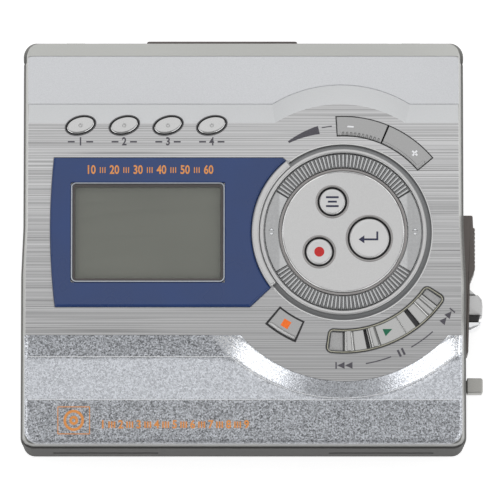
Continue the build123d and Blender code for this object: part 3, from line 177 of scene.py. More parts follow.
class Finish:
    """A finish being mixed: one shader, and textures laid on the piece in millimetres."""

    def __init__(self, name, colour, roughness, metallic=0.0, **sockets):
        self.material = bpy.data.materials.new(name)
        self.material.use_nodes = True
        self.tree = self.material.node_tree
        self.shader = self.tree.nodes["Principled BSDF"]
        values = {"Base Color": (*colour, 1), "Roughness": roughness, "Metallic": metallic, **sockets}
        for socket, value in values.items():
            self.shader.inputs[socket.replace("_", " ")].default_value = value
        self.coordinates = self.add("ShaderNodeTexCoord").outputs["Object"]

    def add(self, kind, inputs=(), **settings):
        return add_node(self.tree, kind, inputs, **settings)

    def laid(self, stretch=(1.0, 1.0, 1.0)):
        """The object's coordinates in millimetres, squeezed by stretch along each axis."""
        scale = tuple(s / MM for s in stretch)
        return self.add("ShaderNodeMapping", {"Vector": self.coordinates, "Scale": scale}).outputs["Vector"]

    def grain(self, size, detail=2.0, stretch=(1.0, 1.0, 1.0)):
        """Cloudy noise whose blotches are about size millimetres across."""
        return self.add("ShaderNodeTexNoise", {
            "Vector": self.laid(stretch), "Scale": 1.0 / size, "Detail": detail,
        }).outputs["Fac"]

    def flakes(self, size):
        """Flat cells about size millimetres across, each with its own value."""
        cells = self.add("ShaderNodeTexVoronoi", {"Vector": self.laid(), "Scale": 1.0 / size})
        return self.add("ShaderNodeSeparateColor", {"Color": cells.outputs["Color"]}).outputs["Red"]

    def bricks(self, width, height, gap, greys, mortar, stretch=(1.0, 1.0, 1.0), **settings):
        """Rows of rectangles of two greys, with lines of another colour between them."""
        colours = [(grey, grey, grey, 1) for grey in greys]
        return self.add("ShaderNodeTexBrick", {
            "Vector": self.laid(stretch), "Scale": 1.0, "Mortar Size": gap, "Brick Width": width,
            "Row Height": height, "Color1": colours[0], "Color2": colours[1], "Mortar": (*mortar, 1),
        }, **settings).outputs["Color"]

    def along(self, axis):
        """How far a place lies along one axis, in millimetres."""
        return self.add("ShaderNodeSeparateXYZ", {"Vector": self.laid()}).outputs[axis]

    def ramp(self, axis, *spread):
        """How far a place lies along one axis, spread out as ranged does."""
        return self.ranged(self.along(axis), *spread)

    def apart(self, source, centre):
        """How far source is from centre, either way."""
        return self.math("ABSOLUTE", self.math("SUBTRACT", source, centre))

    def away(self, axis, centre=0.0):
        """How far a place lies to either side of centre along one axis."""
        return self.apart(self.along(axis), centre)

    def length(self, first, second):
        """The distance whose two legs are first and second."""
        squares = self.math("ADD", self.math("POWER", first, 2.0), self.math("POWER", second, 2.0))
        return self.math("SQRT", squares)

    def math(self, operation, first, second=0.0):
        return self.add("ShaderNodeMath", {0: first, 1: second}, operation=operation).outputs["Value"]

    def times(self, first, second):
        return self.math("MULTIPLY", first, second)

    def weighed(self, first, second, share):
        """share of first, and the rest of second."""
        return self.math("ADD", self.times(first, share), self.times(second, 1 - share))

    def ranged(self, source, low, high, to_low=0.0, to_high=1.0):
        """source, with low to high spread over to_low to to_high."""
        return self.add("ShaderNodeMapRange", {
            "Value": source, "From Min": low, "From Max": high, "To Min": to_low, "To Max": to_high,
        }).outputs["Result"]

    def mixed(self, factor, first, second, blend="MIX"):
        node = self.add("ShaderNodeMix", data_type="RGBA", blend_type=blend)
        for index, value in ((0, factor), (6, first), (7, second)):
            feed(self.tree, node.inputs[index], (*value, 1) if isinstance(value, tuple) else value)
        return node.outputs[2]

    def tinted(self, colour, *tones):
        """colour, multiplied by each tone."""
        for tone in tones:
            colour = self.mixed(1.0, colour, tone, "MULTIPLY")
        return colour

    def toned(self, source, colour, low, high, edge=0.3):
        """colour, from low to high times as bright, after source."""
        return self.mixed(self.ranged(source, edge, 1 - edge), shade(colour, low), shade(colour, high))

    def flecks(self, strength):
        """A tone of fine specks, up to strength paler and darker than 1."""
        return self.ranged(self.grain(FLECK_SIZE), 0.3, 0.7, 1 - strength, 1 + strength)

    def colour(self, socket):
        feed(self.tree, self.shader.inputs["Base Color"], socket)
        return self.material

    def rough(self, source, low, high):
        """Roughness from low to high, after source."""
        feed(self.tree, self.shader.inputs["Roughness"], self.ranged(source, 0.3, 0.7, low, high))
        return self.material

    def relief(self, height, depth):
        """A bump depth millimetres deep."""
        bump = self.add("ShaderNodeBump", {"Height": height, "Strength": 1.0, "Distance": depth * MM})
        feed(self.tree, self.shader.inputs["Normal"], bump.outputs["Normal"])
        return self.material

    def painted_skin(self):
        """The faint unevenness of sprayed paint."""
        return self.relief(self.grain(0.3, 3.0), 0.004)


def shade(colour, factor):
    return tuple(channel * factor for channel in colour)


def satin_silver(name, colour, roughness=0.36, metallic=0.75, fleck=0.06):
    """Silver paint: fine flecks, a slow drift of tone and a faintly uneven skin."""
    paint = Finish(name, colour, roughness, metallic)
    drift = paint.grain(DRIFT_SIZE, 1.0)
    paint.colour(paint.tinted(paint.toned(drift, colour, 0.97, 1.03), paint.flecks(fleck)))
    paint.rough(drift, roughness - 0.03, roughness + 0.04)
    return paint.painted_skin()


def sparkle_silver(name, colour):
    """Silver paint with coarse metal flakes that glint one by one: quieter on the step, with a painted
    highlight on the arch's two sides, and painted shade along its front edge."""
    paint = Finish(name, colour, 0.34, 0.8)
    soft = paint.grain(0.29, 1.0)
    both = paint.weighed(paint.flakes(0.24), soft, 0.35)
    lively, quiet = (paint.ranged(both, 0.3, 0.7, *tones) for tones in ((0.40, 1.46), (0.68, 1.26)))
    aside = paint.away("X", dial_x)
    from_dial = paint.length(aside, paint.away("Y", dial_y))
    arch_radius = FOOT_ARC[2]
    arch = paint.times(paint.ranged(from_dial, arch_radius - 0.6, arch_radius, 1.0, 0.0),
                       paint.ranged(aside, 6.0, 16.0))
    behind_crease = paint.ramp("Y", CREASE_Y - 0.1, CREASE_Y + 0.1)
    before_slope = paint.ramp("Y", SLOPE_FOOT_Y - 0.3, SLOPE_FOOT_Y + 0.1, 1.0, 0.0)
    calm = paint.math("MAXIMUM", paint.times(behind_crease, before_slope), arch)
    # painted shade: a darker colour along the cover's rolled front edge
    painted_front_shade = paint.ramp("Y", -38.4, -37.6, 0.55, 1.0)
    # painted highlight: a paler colour on the arch's two sides
    painted_arch_highlight = paint.ranged(arch, 0.0, 1.0, 1.0, 1.55)
    paint.colour(paint.tinted(colour, paint.mixed(calm, lively, quiet), paint.times(painted_front_shade, painted_arch_highlight)))
    paint.rough(paint.math("SUBTRACT", soft, paint.times(arch, 0.6)), 0.22, 0.42)
    return paint.relief(both, 0.05)


def striped_metal(name, colour):
    """Satin metal with fine ribs right across it, uneven in strength and spacing, a few deep ones, and painted
    shade that deepens slowly towards the front."""
    metal = Finish(name, colour, 0.36, 0.8)
    fine = metal.grain(0.19, 1.0, (0.0012, 1.0, 0.0))
    broad = metal.grain(0.5, 1.0, (0.003, 1.0, 0.0))
    rare = metal.grain(0.3, 0.0, (0.006, 1.0, 0.0))
    ribs = metal.weighed(fine, broad, 0.92)
    tone = metal.ranged(ribs, 0.34, 0.66, 0.68, 1.23)
    deep = metal.ranged(rare, 0.66, 0.74, 1.0, 0.66)
    # painted shade: the plate's tone darkens towards the front
    painted_front_shade = metal.ramp("Y", -24.0, 14.0, 0.74, 1.0)
    metal.colour(metal.tinted(colour, tone, deep, painted_front_shade))
    metal.rough(broad, 0.32, 0.4)
    return metal.relief(ribs, 0.006)


def polished(name, colour, roughness=0.1, scuffs=0.08):
    """Bright plated metal with faint scuffs."""
    metal = Finish(name, colour, roughness, 1.0)
    scuff = metal.grain(0.6, 4.0, (1.0, 0.3, 1.0))
    metal.colour(metal.toned(scuff, colour, 0.93, 1.0, 0.35))
    return metal.rough(scuff, roughness, roughness + scuffs)


def brushed(name, colour, roughness):
    """Sheet metal with fine draw lines."""
    metal = Finish(name, colour, roughness, 1.0)
    lines = metal.grain(0.12, 3.0, (0.03, 1.0, 1.0))
    metal.colour(metal.toned(lines, colour, 0.88, 1.06, 0.35))
    metal.rough(lines, roughness - 0.06, roughness + 0.08)
    return metal.relief(lines, 0.006)


def knurled_metal(name, colour):
    """Bright metal with painted shade in the cuts of its knurl, and a little darker at the dial's two sides."""
    metal = Finish(name, colour, 0.2, 0.9)
    # painted shade: darker the deeper the knurl's cuts go
    cut = metal.ramp("Z", dial_top - KNURL_DEPTH, dial_top - 0.12, 0.5, 1.0)
    scuff = metal.ranged(metal.grain(0.5, 3.0), 0.3, 0.7, 0.94, 1.04)
    aside = metal.ranged(metal.away("X", dial_x), 11.9, 12.3)
    metal.colour(metal.tinted(metal.mixed(aside, colour, shade(colour, 0.8)), cut, scuff))
    return metal.rough(metal.grain(0.8), 0.16, 0.26)


def moulded(name, colour, roughness, skin=0.25, depth=0.012, coat=0.0):
    """Moulded plastic or rubber: slow tone, fine pits and an uneven sheen."""
    plastic = Finish(name, colour, roughness, Coat_Weight=coat, Coat_Roughness=0.08)
    pits = plastic.grain(skin, 3.0)
    cloud = plastic.grain(9.0)
    tone = plastic.toned(cloud, colour, 0.92, 1.08)
    plastic.colour(plastic.mixed(plastic.ranged(pits, 0.3, 0.8, 0.0, 0.12), tone, shade(colour, 0.6)))
    plastic.rough(cloud, roughness - 0.05, roughness + 0.06)
    return plastic.relief(pits, depth)


def screen_film(name, colour):
    """The grey-green display behind its glass: a slow fade and a fine grid of cells."""
    film = Finish(name, colour, 0.42)
    fade = film.grain(24.0, 1.0)
    cells = film.bricks(0.5, 0.5, 0.03, (1.0, 0.98), (0.94, 0.94, 0.93), offset=0.0)
    film.colour(film.tinted(film.toned(fade, colour, 0.94, 1.08), cells))
    return film.rough(fade, 0.36, 0.46)


def window_glass(name, colour):
    """Thin clear glass with a few faint smears."""
    glass = Finish(name, colour, 0.03, Alpha=0.12)
    return glass.rough(glass.grain(5.0, 3.0), 0.02, 0.08)


def circuit(name, colour, copper):
    """Solder mask with tracks that show through it."""
    board = Finish(name, colour, 0.4)
    tracks = board.bricks(2.6, 0.9, 0.07, (0, 0), (1, 1, 1), (1.0, 1.0, 0.0))
    shown = board.times(tracks, board.ranged(board.grain(6.0, 1.0), 0.45, 0.5))
    board.colour(board.mixed(shown, colour, copper))
    return board.relief(shown, 0.02)


# The middle of the pale outline's round corners, and where the corner's edge fades.
PALE_CORNER = (37.4, 26.6)
PALE_EDGE = (3.3, 3.5)


def shell_paint(name, pale, olive_and_painted_shade):
    """The lid's paint: pale on the slope behind the face plate, within a round-cornered outline; a darker olive
    tone, partly painted shade, on the rear bevel and the flanks; and darkest, from painted shade, on the front
    lip."""
    paint = Finish(name, pale, 0.4, 0.7)
    aside = paint.away("X")
    across = paint.math("MAXIMUM", paint.math("SUBTRACT", aside, PALE_CORNER[0]))
    back = paint.math("MAXIMUM", paint.math("SUBTRACT", paint.along("Y"), PALE_CORNER[1]))
    inside = paint.ranged(paint.length(across, back), *PALE_EDGE, 1.0, 0.0)
    slope = paint.times(inside, paint.ramp("Y", -30.2, -30.0))
    # painted shade on the lid's front lip
    lip = paint.ramp("Y", -38.2, -37.2, 0.5, 1.0)
    # painted shade on the flanks
    painted_flank_shade = paint.ranged(aside, 41.0, 41.4, 1.0, 0.76)
    paint.colour(paint.tinted(paint.mixed(slope, olive_and_painted_shade, pale), paint.times(lip, painted_flank_shade), paint.flecks(0.03)))
    paint.rough(paint.grain(DRIFT_SIZE, 1.0), 0.36, 0.44)
    return paint.painted_skin()


# The two grooves across the case's front wall, where the case's paint is darkened with painted shade.
GROOVE_X = 26.3
GROOVE_Z = lid_foot - 5.7
GROOVE_HALF_LENGTH = 10.0
GROOVE_HALF_HEIGHT = 0.7


def case_paint(name, colour):
    """The case's matt silver paint, with painted shade that makes it much darker on the front wall and darkest
    in its two grooves.
    """
    paint = Finish(name, colour, 0.6, Specular_IOR_Level=0.1)
    # painted shade: the front wall is darker
    front = paint.ramp("Y", -38.2, -36.6, 0.36, 1.0)
    aside = paint.apart(paint.away("X"), GROOVE_X)
    # painted shade in the two grooves
    groove = paint.times(
        paint.ranged(aside, GROOVE_HALF_LENGTH - 0.1, GROOVE_HALF_LENGTH, 1.0, 0.0),
        paint.ranged(paint.away("Z", GROOVE_Z), GROOVE_HALF_HEIGHT - 0.02, GROOVE_HALF_HEIGHT + 0.02, 1.0, 0.0))
    at_wall = paint.ramp("Y", -39.5, -37.5, 1.0, 0.0)
    shadow = paint.ranged(paint.times(groove, at_wall), 0.0, 1.0, 1.0, 0.3)
    paint.colour(paint.tinted(colour, front, shadow, paint.flecks(0.14)))
    return paint.painted_skin()


def ink(name, colour):
    """Screen-printed ink, a little thin in places."""
    paint = Finish(name, colour, 0.5)
    return paint.colour(paint.mixed(paint.ranged(paint.grain(0.25), 0.4, 0.7), colour, shade(colour, 1.25)))


# How each finish is made: its maker and what the maker is given. The first 17 are the record's slots.
RECIPES = {
    "silver_paint": (satin_silver, (0.66, 0.67, 0.69)),
    "striped_metal": (striped_metal, (0.565, 0.565, 0.57)),
    "case_silver": (case_paint, (0.29, 0.288, 0.278)),
    "steel": (brushed, (0.52, 0.53, 0.55), 0.42),
    "bright_metal": (polished, (0.82, 0.83, 0.85)),
    "blue_plastic": (moulded, (0.008, 0.040, 0.165), 0.3, 0.22, 0.003, 0.3),
    "key_silver": (satin_silver, (0.60, 0.60, 0.60), 0.32, 0.7, 0.04),
    "brown_rubber": (moulded, (0.155, 0.135, 0.125), 0.55, 0.35, 0.03),
    "dark_plastic": (moulded, (0.020, 0.020, 0.022), 0.45),
    "grey_plastic": (moulded, (0.12, 0.12, 0.125), 0.5),
    "clear_window": (window_glass, (0.40, 0.42, 0.40)),
    "lcd_grey": (screen_film, (0.19, 0.195, 0.165)),
    "board_green": (circuit, (0.012, 0.075, 0.035), (0.10, 0.22, 0.08)),
    "cell_blue": (moulded, (0.03, 0.07, 0.20), 0.35, 0.5, 0.004, 0.3),
    "contact_metal": (polished, (0.80, 0.62, 0.30), 0.2),
    "lens_glass": (moulded, (0.05, 0.08, 0.20), 0.08, 1.0, 0.0, 1.0),
    "tray_metal": (satin_silver, (0.42, 0.42, 0.42), 0.4, 0.6, 0.12),
    "sparkle_paint": (sparkle_silver, (0.60, 0.62, 0.66)),
    "dial_satin": (satin_silver, (0.66, 0.66, 0.66), 0.34, 0.7, 0.02),
    "rim_gold": (satin_silver, (0.50, 0.485, 0.39), 0.4, 0.4, 0.04),
    # the lid's pale paint, and its darker olive tone, which is partly painted shade
    "shell_silver": (shell_paint, (0.70, 0.71, 0.72), (0.47, 0.475, 0.455)),
    "edge_gloss": (polished, (0.92, 0.93, 0.95), 0.16, 0.05),
    "frame_chrome": (polished, (0.52, 0.55, 0.60), 0.16, 0.05),
    "knob_olive": (satin_silver, (0.46, 0.455, 0.43), 0.36, 0.6, 0.08),
    "gap_brown": (moulded, (0.085, 0.075, 0.072), 0.45, 0.3, 0.004),
    "gap_grey": (moulded, (0.33, 0.315, 0.31), 0.45, 0.3, 0.004),
    # dark grey for painted shade: the dial's well and the gaps round the key channel
    "band_grey": (satin_silver, (0.24, 0.245, 0.25), 0.35, 0.5, 0.03),
    "knurl_metal": (knurled_metal, (0.52, 0.525, 0.53)),
    "grey_keys": (satin_silver, (0.42, 0.42, 0.42), 0.3, 0.7, 0.04),
    "collar_silver": (satin_silver, (0.36, 0.35, 0.345), 0.3, 0.7, 0.03),
    "bright_keys": (satin_silver, (0.60, 0.60, 0.60), 0.15, 0.95, 0.02),
    "channel_keys": (satin_silver, (0.47, 0.47, 0.465), 0.16, 0.95, 0.02),
    "orange_ink": (ink, (0.75, 0.30, 0.08)),
    "bright_orange": (ink, (0.95, 0.17, 0.01)),
    "slate_ink": (ink, (0.075, 0.070, 0.085)),
    "navy_ink": (ink, (0.020, 0.022, 0.060)),
    "red_ink": (ink, (0.55, 0.015, 0.015)),
    "green_ink": (ink, (0.0, 0.13, 0.06)),
}
finishes = {name: maker(name, *given) for name, (maker, *given) in RECIPES.items()}

for name, slot in slot_of_node.items():
    node = frame["nodes"][name]
    if node.material_slots:
        for material_slot in node.material_slots:
            material_slot.material = finishes[slot]
    else:
        node.data.materials.append(finishes[slot])


# ------------------------------------------------------------ making pieces
WELD = 1e-7


@contextmanager
def editing(mesh):
    """The mesh as one that bmesh can work on, written back with its faces turned outwards."""
    solid = bmesh.new()
    solid.from_mesh(mesh)
    yield solid
    bmesh.ops.recalc_face_normals(solid, faces=solid.faces)
    solid.to_mesh(mesh)
    solid.free()


def full_turn(count):
    """Angles evenly spaced round a full turn."""
    return np.linspace(0, 2 * pi, count, endpoint=False)


def quarter_turn(count):
    return np.linspace(0, pi / 2, count)


def grid_quads(rows, columns, wrap_rows, wrap_columns):
    """The corner numbers of a grid's quads. The grid may join its last row or column to its first."""
    row = np.arange(rows if wrap_rows else rows - 1)
    column = np.arange(columns if wrap_columns else columns - 1)
    row, column = np.meshgrid(row, column, indexing="ij")
    below = (row + 1) % rows
    beside = (column + 1) % columns
    quads = (row * columns + column, row * columns + beside, below * columns + beside, below * columns + column)
    return np.stack(quads, -1).reshape(-1, 4)


def finished(name, shape, finish, body="lid", slot=None, replaced=None, sharp=35.0):
    """A mesh piece from a shape's points, in millimetres, and faces. It is smooth up to the sharp angle and
    rides on a body; one that replaces a CAD node takes that node's body and slot."""
    points, faces = shape
    mesh = bpy.data.meshes.new(name)
    mesh.from_pydata((np.asarray(points, float) * MM).tolist(), [], [list(map(int, f)) for f in faces])
    mesh.validate()
    with editing(mesh) as solid:
        bmesh.ops.remove_doubles(solid, verts=solid.verts, dist=WELD)
    mesh.shade_smooth()
    mesh.set_sharp_from_angle(angle=radians(sharp))
    mesh.materials.append(finishes[finish])
    piece = linked(name, mesh)
    if replaced:
        body, slot = body_of_node[replaced], slot_of_node[replaced]
    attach(piece, body)
    if replaced:
        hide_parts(replaced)


def stacked(rings):
    """Points and faces of a solid whose skin is a stack of closed rings, each end closed by a fan."""
    rings = np.asarray(rings, float)
    rows, columns, _ = rings.shape
    ends = rings[[0, -1]].mean(1)
    points = np.vstack([rings.reshape(-1, 3), ends])
    here = np.arange(columns)
    after = (here + 1) % columns
    first = np.stack([np.full(columns, rows * columns), after, here], -1)
    last = np.stack([np.full(columns, rows * columns + 1), here, after], -1)
    last[:, 1:] += (rows - 1) * columns
    quads = grid_quads(rows, columns, False, True)
    return points, [*quads.tolist(), *first.tolist(), *last.tolist()]


def looped(rings):
    """Points and faces of a hoop: rings of a closed profile, round a closed path."""
    rings = np.asarray(rings, float)
    rows, columns, _ = rings.shape
    return rings.reshape(-1, 3), grid_quads(rows, columns, True, True)


def slab(top, foot):
    """Points and faces of a solid under a grid of points, down to the height foot."""
    rows, columns, _ = top.shape
    under = top.copy()
    under[..., 2] = foot
    points = np.vstack([top.reshape(-1, 3), under.reshape(-1, 3)])
    upper = grid_quads(rows, columns, False, False)
    lower = upper[:, ::-1] + rows * columns
    number = np.arange(rows * columns).reshape(rows, columns)
    rim = np.concatenate([number[0], number[1:, -1], number[-1, -2::-1], number[-2:0:-1, 0]])
    after = np.roll(rim, -1)
    sides = np.stack([rim, rim + rows * columns, after + rows * columns, after], -1)
    return points, np.vstack([upper, lower, sides])


def merged(shapes):
    """Points and faces of several shapes as one."""
    points, faces, start = [], [], 0
    for shape_points, shape_faces in shapes:
        points.append(shape_points)
        faces += [[index + start for index in face] for face in shape_faces]
        start += len(shape_points)
    return np.vstack(points), faces


def lifted(outline, z):
    """A ring of points: a flat outline at a height, or with a height for each point."""
    return np.column_stack([outline, np.full(len(outline), z)])


def circle(radius, z, centre=(0.0, 0.0), count=96):
    """A ring of points."""
    turn = full_turn(count)
    return lifted(np.stack([centre[0] + radius * np.cos(turn), centre[1] + radius * np.sin(turn)], -1), z)


def turned(profile, centre, count=96):
    """Points and faces of a turned piece: the profile's radii and heights swept about an upright axis."""
    return stacked([circle(radius, z, centre, count) for radius, z in profile])


def hooped(profile, centre=dial_centre, count=180):
    """Points and faces of a hoop: a closed profile of radii and heights swept about an upright axis."""
    return looped([circle(radius, z, centre, count) for radius, z in profile])


def rounding(depth, rim):
    """How far a rounded edge of radius rim has dropped at a depth from the side."""
    inset = rim - np.clip(depth, 0, rim)
    return rim - np.sqrt(np.maximum(rim ** 2 - inset ** 2, 0))


def edged(low, high, rim, count, rim_steps=5):
    """Positions from low to high, closer together within rim of each end."""
    curve = rim * (1 - np.cos(quarter_turn(rim_steps + 1)))
    middle = np.linspace(low + rim, high - rim, count)
    return np.concatenate([low + curve[:-1], middle, (high - curve[:-1])[::-1]])


def rounded_rectangle(half_x, half_y, corner, count=8):
    """X and Y round a rectangle about the origin, its corners quarter circles."""
    turn = quarter_turn(count)
    quarters = []
    for quarter, (side_x, side_y) in enumerate(((1, 1), (-1, 1), (-1, -1), (1, -1))):
        angle = turn + quarter * pi / 2
        quarters.append(np.stack([side_x * (half_x - corner) + corner * np.cos(angle),
                                  side_y * (half_y - corner) + corner * np.sin(angle)], -1))
    return np.concatenate(quarters)


def filled_in(loop, longest):
    """A closed line with points added on its long stretches."""
    after = np.roll(loop, -1, 0)
    parts = []
    for start, end in zip(loop, after):
        count = int(np.ceil(np.linalg.norm(end - start) / longest)) or 1
        parts.append(start + np.linspace(0, 1, count, endpoint=False)[:, None] * (end - start))
    return np.concatenate(parts)


def at_dial(radius, angle):
    """X and Y of a place given by its distance from the dial's centre and its angle in degrees."""
    turn = np.radians(angle)
    return dial_x + radius * np.cos(turn), dial_y + radius * np.sin(turn)


def sector(inner, outer, start, end, foot, top, rim, relief=None, counts=(40, 10)):
    """A pad that is a stretch of a ring about the dial. Its height is top, less the rounding of its four
    edges, plus relief(angle, radius)."""
    middle = (inner + outer) / 2
    rim_angle = np.degrees(rim / middle)
    angle, radius = np.meshgrid(
        edged(start, end, rim_angle, counts[0]), edged(inner, outer, rim, counts[1]), indexing="ij",
    )
    along = np.minimum(angle - start, end - angle) / rim_angle * rim
    across = np.minimum(radius - inner, outer - radius)
    height = top - np.maximum(rounding(along, rim), rounding(across, rim))
    if relief:
        height = height + relief(angle, radius)
    x, y = at_dial(radius, angle)
    return slab(np.stack([x, y, height], -1), foot)


def bell(value, centre, half_width):
    """1 at centre, falling as a half circle to 0 at half_width."""
    return np.sqrt(np.maximum(1 - ((value - centre) / half_width) ** 2, 0))


def step(value, start, run):
    """0 before start, rising smoothly to 1 over run."""
    share = np.clip((value - start) / run, 0, 1)
    return share * share * (3 - 2 * share)


# ------------------------------------------------------------ dial
KNURL_SPANS = ((31.0, 149.0), (210.0, 330.0))
KNURL_EDGE = 0.22
GAP_BAND = (11.68, 12.06)
# The dark band of painted shade in the dial's well.
WELL_SHADE_BAND = (15.86, 16.76)
LIP_RADII = (16.76, 17.02)
LIP_ANGLES = (219.0, 486.5)
DISC_EDGE = (11.46, 0.13)


def knurled_ring():
    """The jog ring: a profile carried round the dial, whose top is cut into ribs, a clipped cosine of the
    angle, inside the two knurled spans."""
    inner = disc_reach + 0.04
    outer = jog_outer + 0.06
    across = edged(inner, outer, KNURL_EDGE, 5)
    turn = np.arange(0, 360, KNURL_PITCH / 10)
    angle, radius = np.meshgrid(turn, across, indexing="ij")
    rib = np.clip(0.95 + 1.5 * np.cos(2 * pi * angle / KNURL_PITCH), 0, 1)
    inside = np.zeros_like(angle)
    for start, end in KNURL_SPANS:
        inside = np.maximum(inside, step(angle, start, 0.6) * step(-angle, -end, 0.6))
    crown = 0.06 * (1 - ((radius - inner) / (outer - inner) * 2 - 1) ** 2)
    lower = KNURL_DEPTH * inside * (1 - rib) + 0.05 * (1 - inside)
    edge = rounding(np.minimum(radius - inner, outer - radius), KNURL_EDGE)
    top = dial_top - 0.06 - np.maximum(edge, lower) + crown
    skin = np.stack([*at_dial(radius, angle), top], -1)
    walls = [lifted(np.stack(at_dial(r, turn), -1), jog_low[2])[:, None] for r in (outer, inner)]
    rings = np.concatenate([skin, *walls], 1)
    finished("knurled_jog_ring", looped(rings), "knurl_metal", replaced="jog_ring", sharp=40.0)


def jog_arrows():
    """Two small raised arrowheads on each smooth stretch of the jog ring, pointing both ways round."""
    middle = (jog_outer + disc_reach) / 2 + 0.1
    for side, name in ((0.0, "right"), (180.0, "left")):
        for way, end in ((1, "on"), (-1, "back")):
            base = side + way * 0.7
            loop = np.array([at_dial(middle, side + way * 3.4), at_dial(middle + 0.62, base),
                             at_dial(middle - 0.62, base)])
            centre = loop.mean(0)
            rings = [lifted(centre + (loop - centre) * share, dial_top + lift)
                     for share, lift in ((1.0, -0.3), (1.0, -0.08), (0.55, 0.06))]
            finished(f"jog_arrow_{name}_{end}", stacked(rings), "bright_metal", "jog_ring", "bright_metal")


def dished_cap(radius, foot, top, dish, roll):
    """The profile of a button: straight side, rolled rim and a shallow dish, as radii and heights."""
    turn = quarter_turn(7)
    rim = [(radius - roll + roll * cos(t), top - roll + roll * sin(t)) for t in turn]
    hollow = [(share * (radius - roll), top - dish * (1 - share ** 2)) for share in (0.85, 0.65, 0.4, 0.15)]
    return [(radius, foot), *rim, *hollow]


def crowned(inner, outer, top, rise, foot, foot_inner):
    """The closed profile of a band whose top is half an ellipse, on a flat foot."""
    middle, half = (inner + outer) / 2, (outer - inner) / 2
    crown = [(middle + half * cos(t), top - rise + rise * sin(t)) for t in np.linspace(0, pi, 9)]
    return [*crown, (foot_inner, foot), (outer, foot)]


def dial_button_caps():
    """Each dial button's dished cap, the dark well it moves in and the raised collar round it."""
    for button in ("edit_button", "record_button", "enter_button"):
        low, high = corners(button)
        centre, radius, top = centre_of(button), (high - low)[0] / 2, high[2]
        cap = dished_cap(radius, dial_floor + 0.7, top, 0.10, 0.42)
        finished(f"{button}_cap", turned(cap, centre), "dial_satin", replaced=button)
        well = radius + 0.3
        liner = [(well - 0.03, dial_floor + 0.02), (well - 0.03, top - 0.32), (well - 0.12, top - 0.32),
                 (well - 0.12, dial_floor + 0.12)]
        finished(f"{button}_well", turned(liner, centre), "dark_plastic", slot="dark_plastic")
        collar = crowned(well, well + 0.4, disc_high[2] + 0.09, 0.13, disc_high[2] - 0.2, well + 0.02)
        finished(f"{button}_collar", hooped(collar, centre, 96), "collar_silver", slot="grey_plastic")


def stay_ring():
    """The fixed bright ring round the jog ring: a rounded band swept about the dial."""
    low, high = corners("dial_ring")
    inner, outer = jog_outer + 0.28, (high - low)[0] / 2 + 0.12
    band_profile = crowned(inner, outer, high[2], 0.22, low[2], inner)
    finished("dial_stay_ring", hooped(band_profile), "key_silver", replaced="dial_ring")


def dial_band(name, radii, low, high, finish, fall=0.0):
    """A flat hoop about the dial from low to high, its top falling outwards by fall."""
    inner, outer = radii
    corner = [(inner, low), (inner, high), (outer, high - fall), (outer, low)]
    finished(name, hooped(corner), finish, slot="dark_plastic")


def dial_lip():
    """A thin bright edge round the dial's well, open where the surround is: a stretch of a ring."""
    lip = sector(*LIP_RADII, *LIP_ANGLES, face_z - 0.5, face_z + 0.05, 0.04, None, (240, 3))
    finished("dial_lip", lip, "bright_keys", slot="key_silver")


def disc_edge():
    """A bright rolled edge round the dial's disc: a small round section swept about the dial."""
    middle, roll = DISC_EDGE
    section = [(middle + roll * cos(t), disc_high[2] - 0.1 + roll * sin(t)) for t in full_turn(10)]
    finished("dial_disc_edge", hooped(section), "bright_keys", slot="key_silver")


knurled_ring()
jog_arrows()
dial_button_caps()
stay_ring()
dial_band("dial_gap_band", GAP_BAND, dial_floor + 0.62, dial_top - 0.16, "gap_grey")
disc_edge()
# painted shade: a dark band where the dial's well lies in shade
dial_band("dial_well_shade_band", WELL_SHADE_BAND, face_z - 0.95, face_z - 0.12, "band_grey", 0.3)
dial_lip()


# ------------------------------------------------------------ oval buttons
OVAL_BUTTONS = ("display_button", "mode_button", "character_button", "bass_button")
OVAL_TILT = radians(15.0)
OVAL_HALF = (2.75, 1.6)


def oval(centre, grow, z, count=72):
    """A ring of points on a tilted ellipse, grown by grow."""
    turn = full_turn(count)
    along = (OVAL_HALF[0] + grow) * np.cos(turn)
    across = (OVAL_HALF[1] + grow) * np.sin(turn)
    return np.stack([
        centre[0] + along * cos(OVAL_TILT) - across * sin(OVAL_TILT),
        centre[1] + along * sin(OVAL_TILT) + across * cos(OVAL_TILT),
        np.full(count, z),
    ], -1)


def oval_buttons():
    """Four tilted oval caps: ellipses that shrink and rise over a rolled rim to a low dome with a pip, each
    in a dark collar."""
    for button in OVAL_BUTTONS:
        low, high = corners(button)
        centre, top = centre_of(button), high[2]
        turn = quarter_turn(7)
        rings = [oval(centre, 0.0, low[2] + 1.2)]
        rings += [oval(centre, -0.5 * (1 - cos(t)), top - 0.56 + 0.42 * sin(t)) for t in turn]
        rings += [oval(centre, -0.5 - inset, top - 0.14 + lift)
                  for inset, lift in ((0.2, 0.02), (0.45, 0.03), (0.7, 0.035), (0.95, 0.04))]
        finished(f"{button}_cap", stacked(rings), "bright_keys", replaced=button)
        pip = [(0.42, top - 0.12), (0.40, top - 0.03), (0.32, top), (0.22, top - 0.05), (0.1, top - 0.09)]
        finished(f"{button}_pip", turned(pip, centre, 32), "key_silver", button, "key_silver")
        collar = [oval(centre, grow, z) for grow, z in (
            (0.10, face_z - 1.3), (0.10, face_z + 0.12), (0.16, face_z + 0.17), (0.28, face_z + 0.13),
            (0.32, face_z + 0.02), (0.32, face_z - 1.3),
        )]
        finished(f"{button}_collar", looped(collar), "grey_plastic", slot="grey_plastic")


oval_buttons()


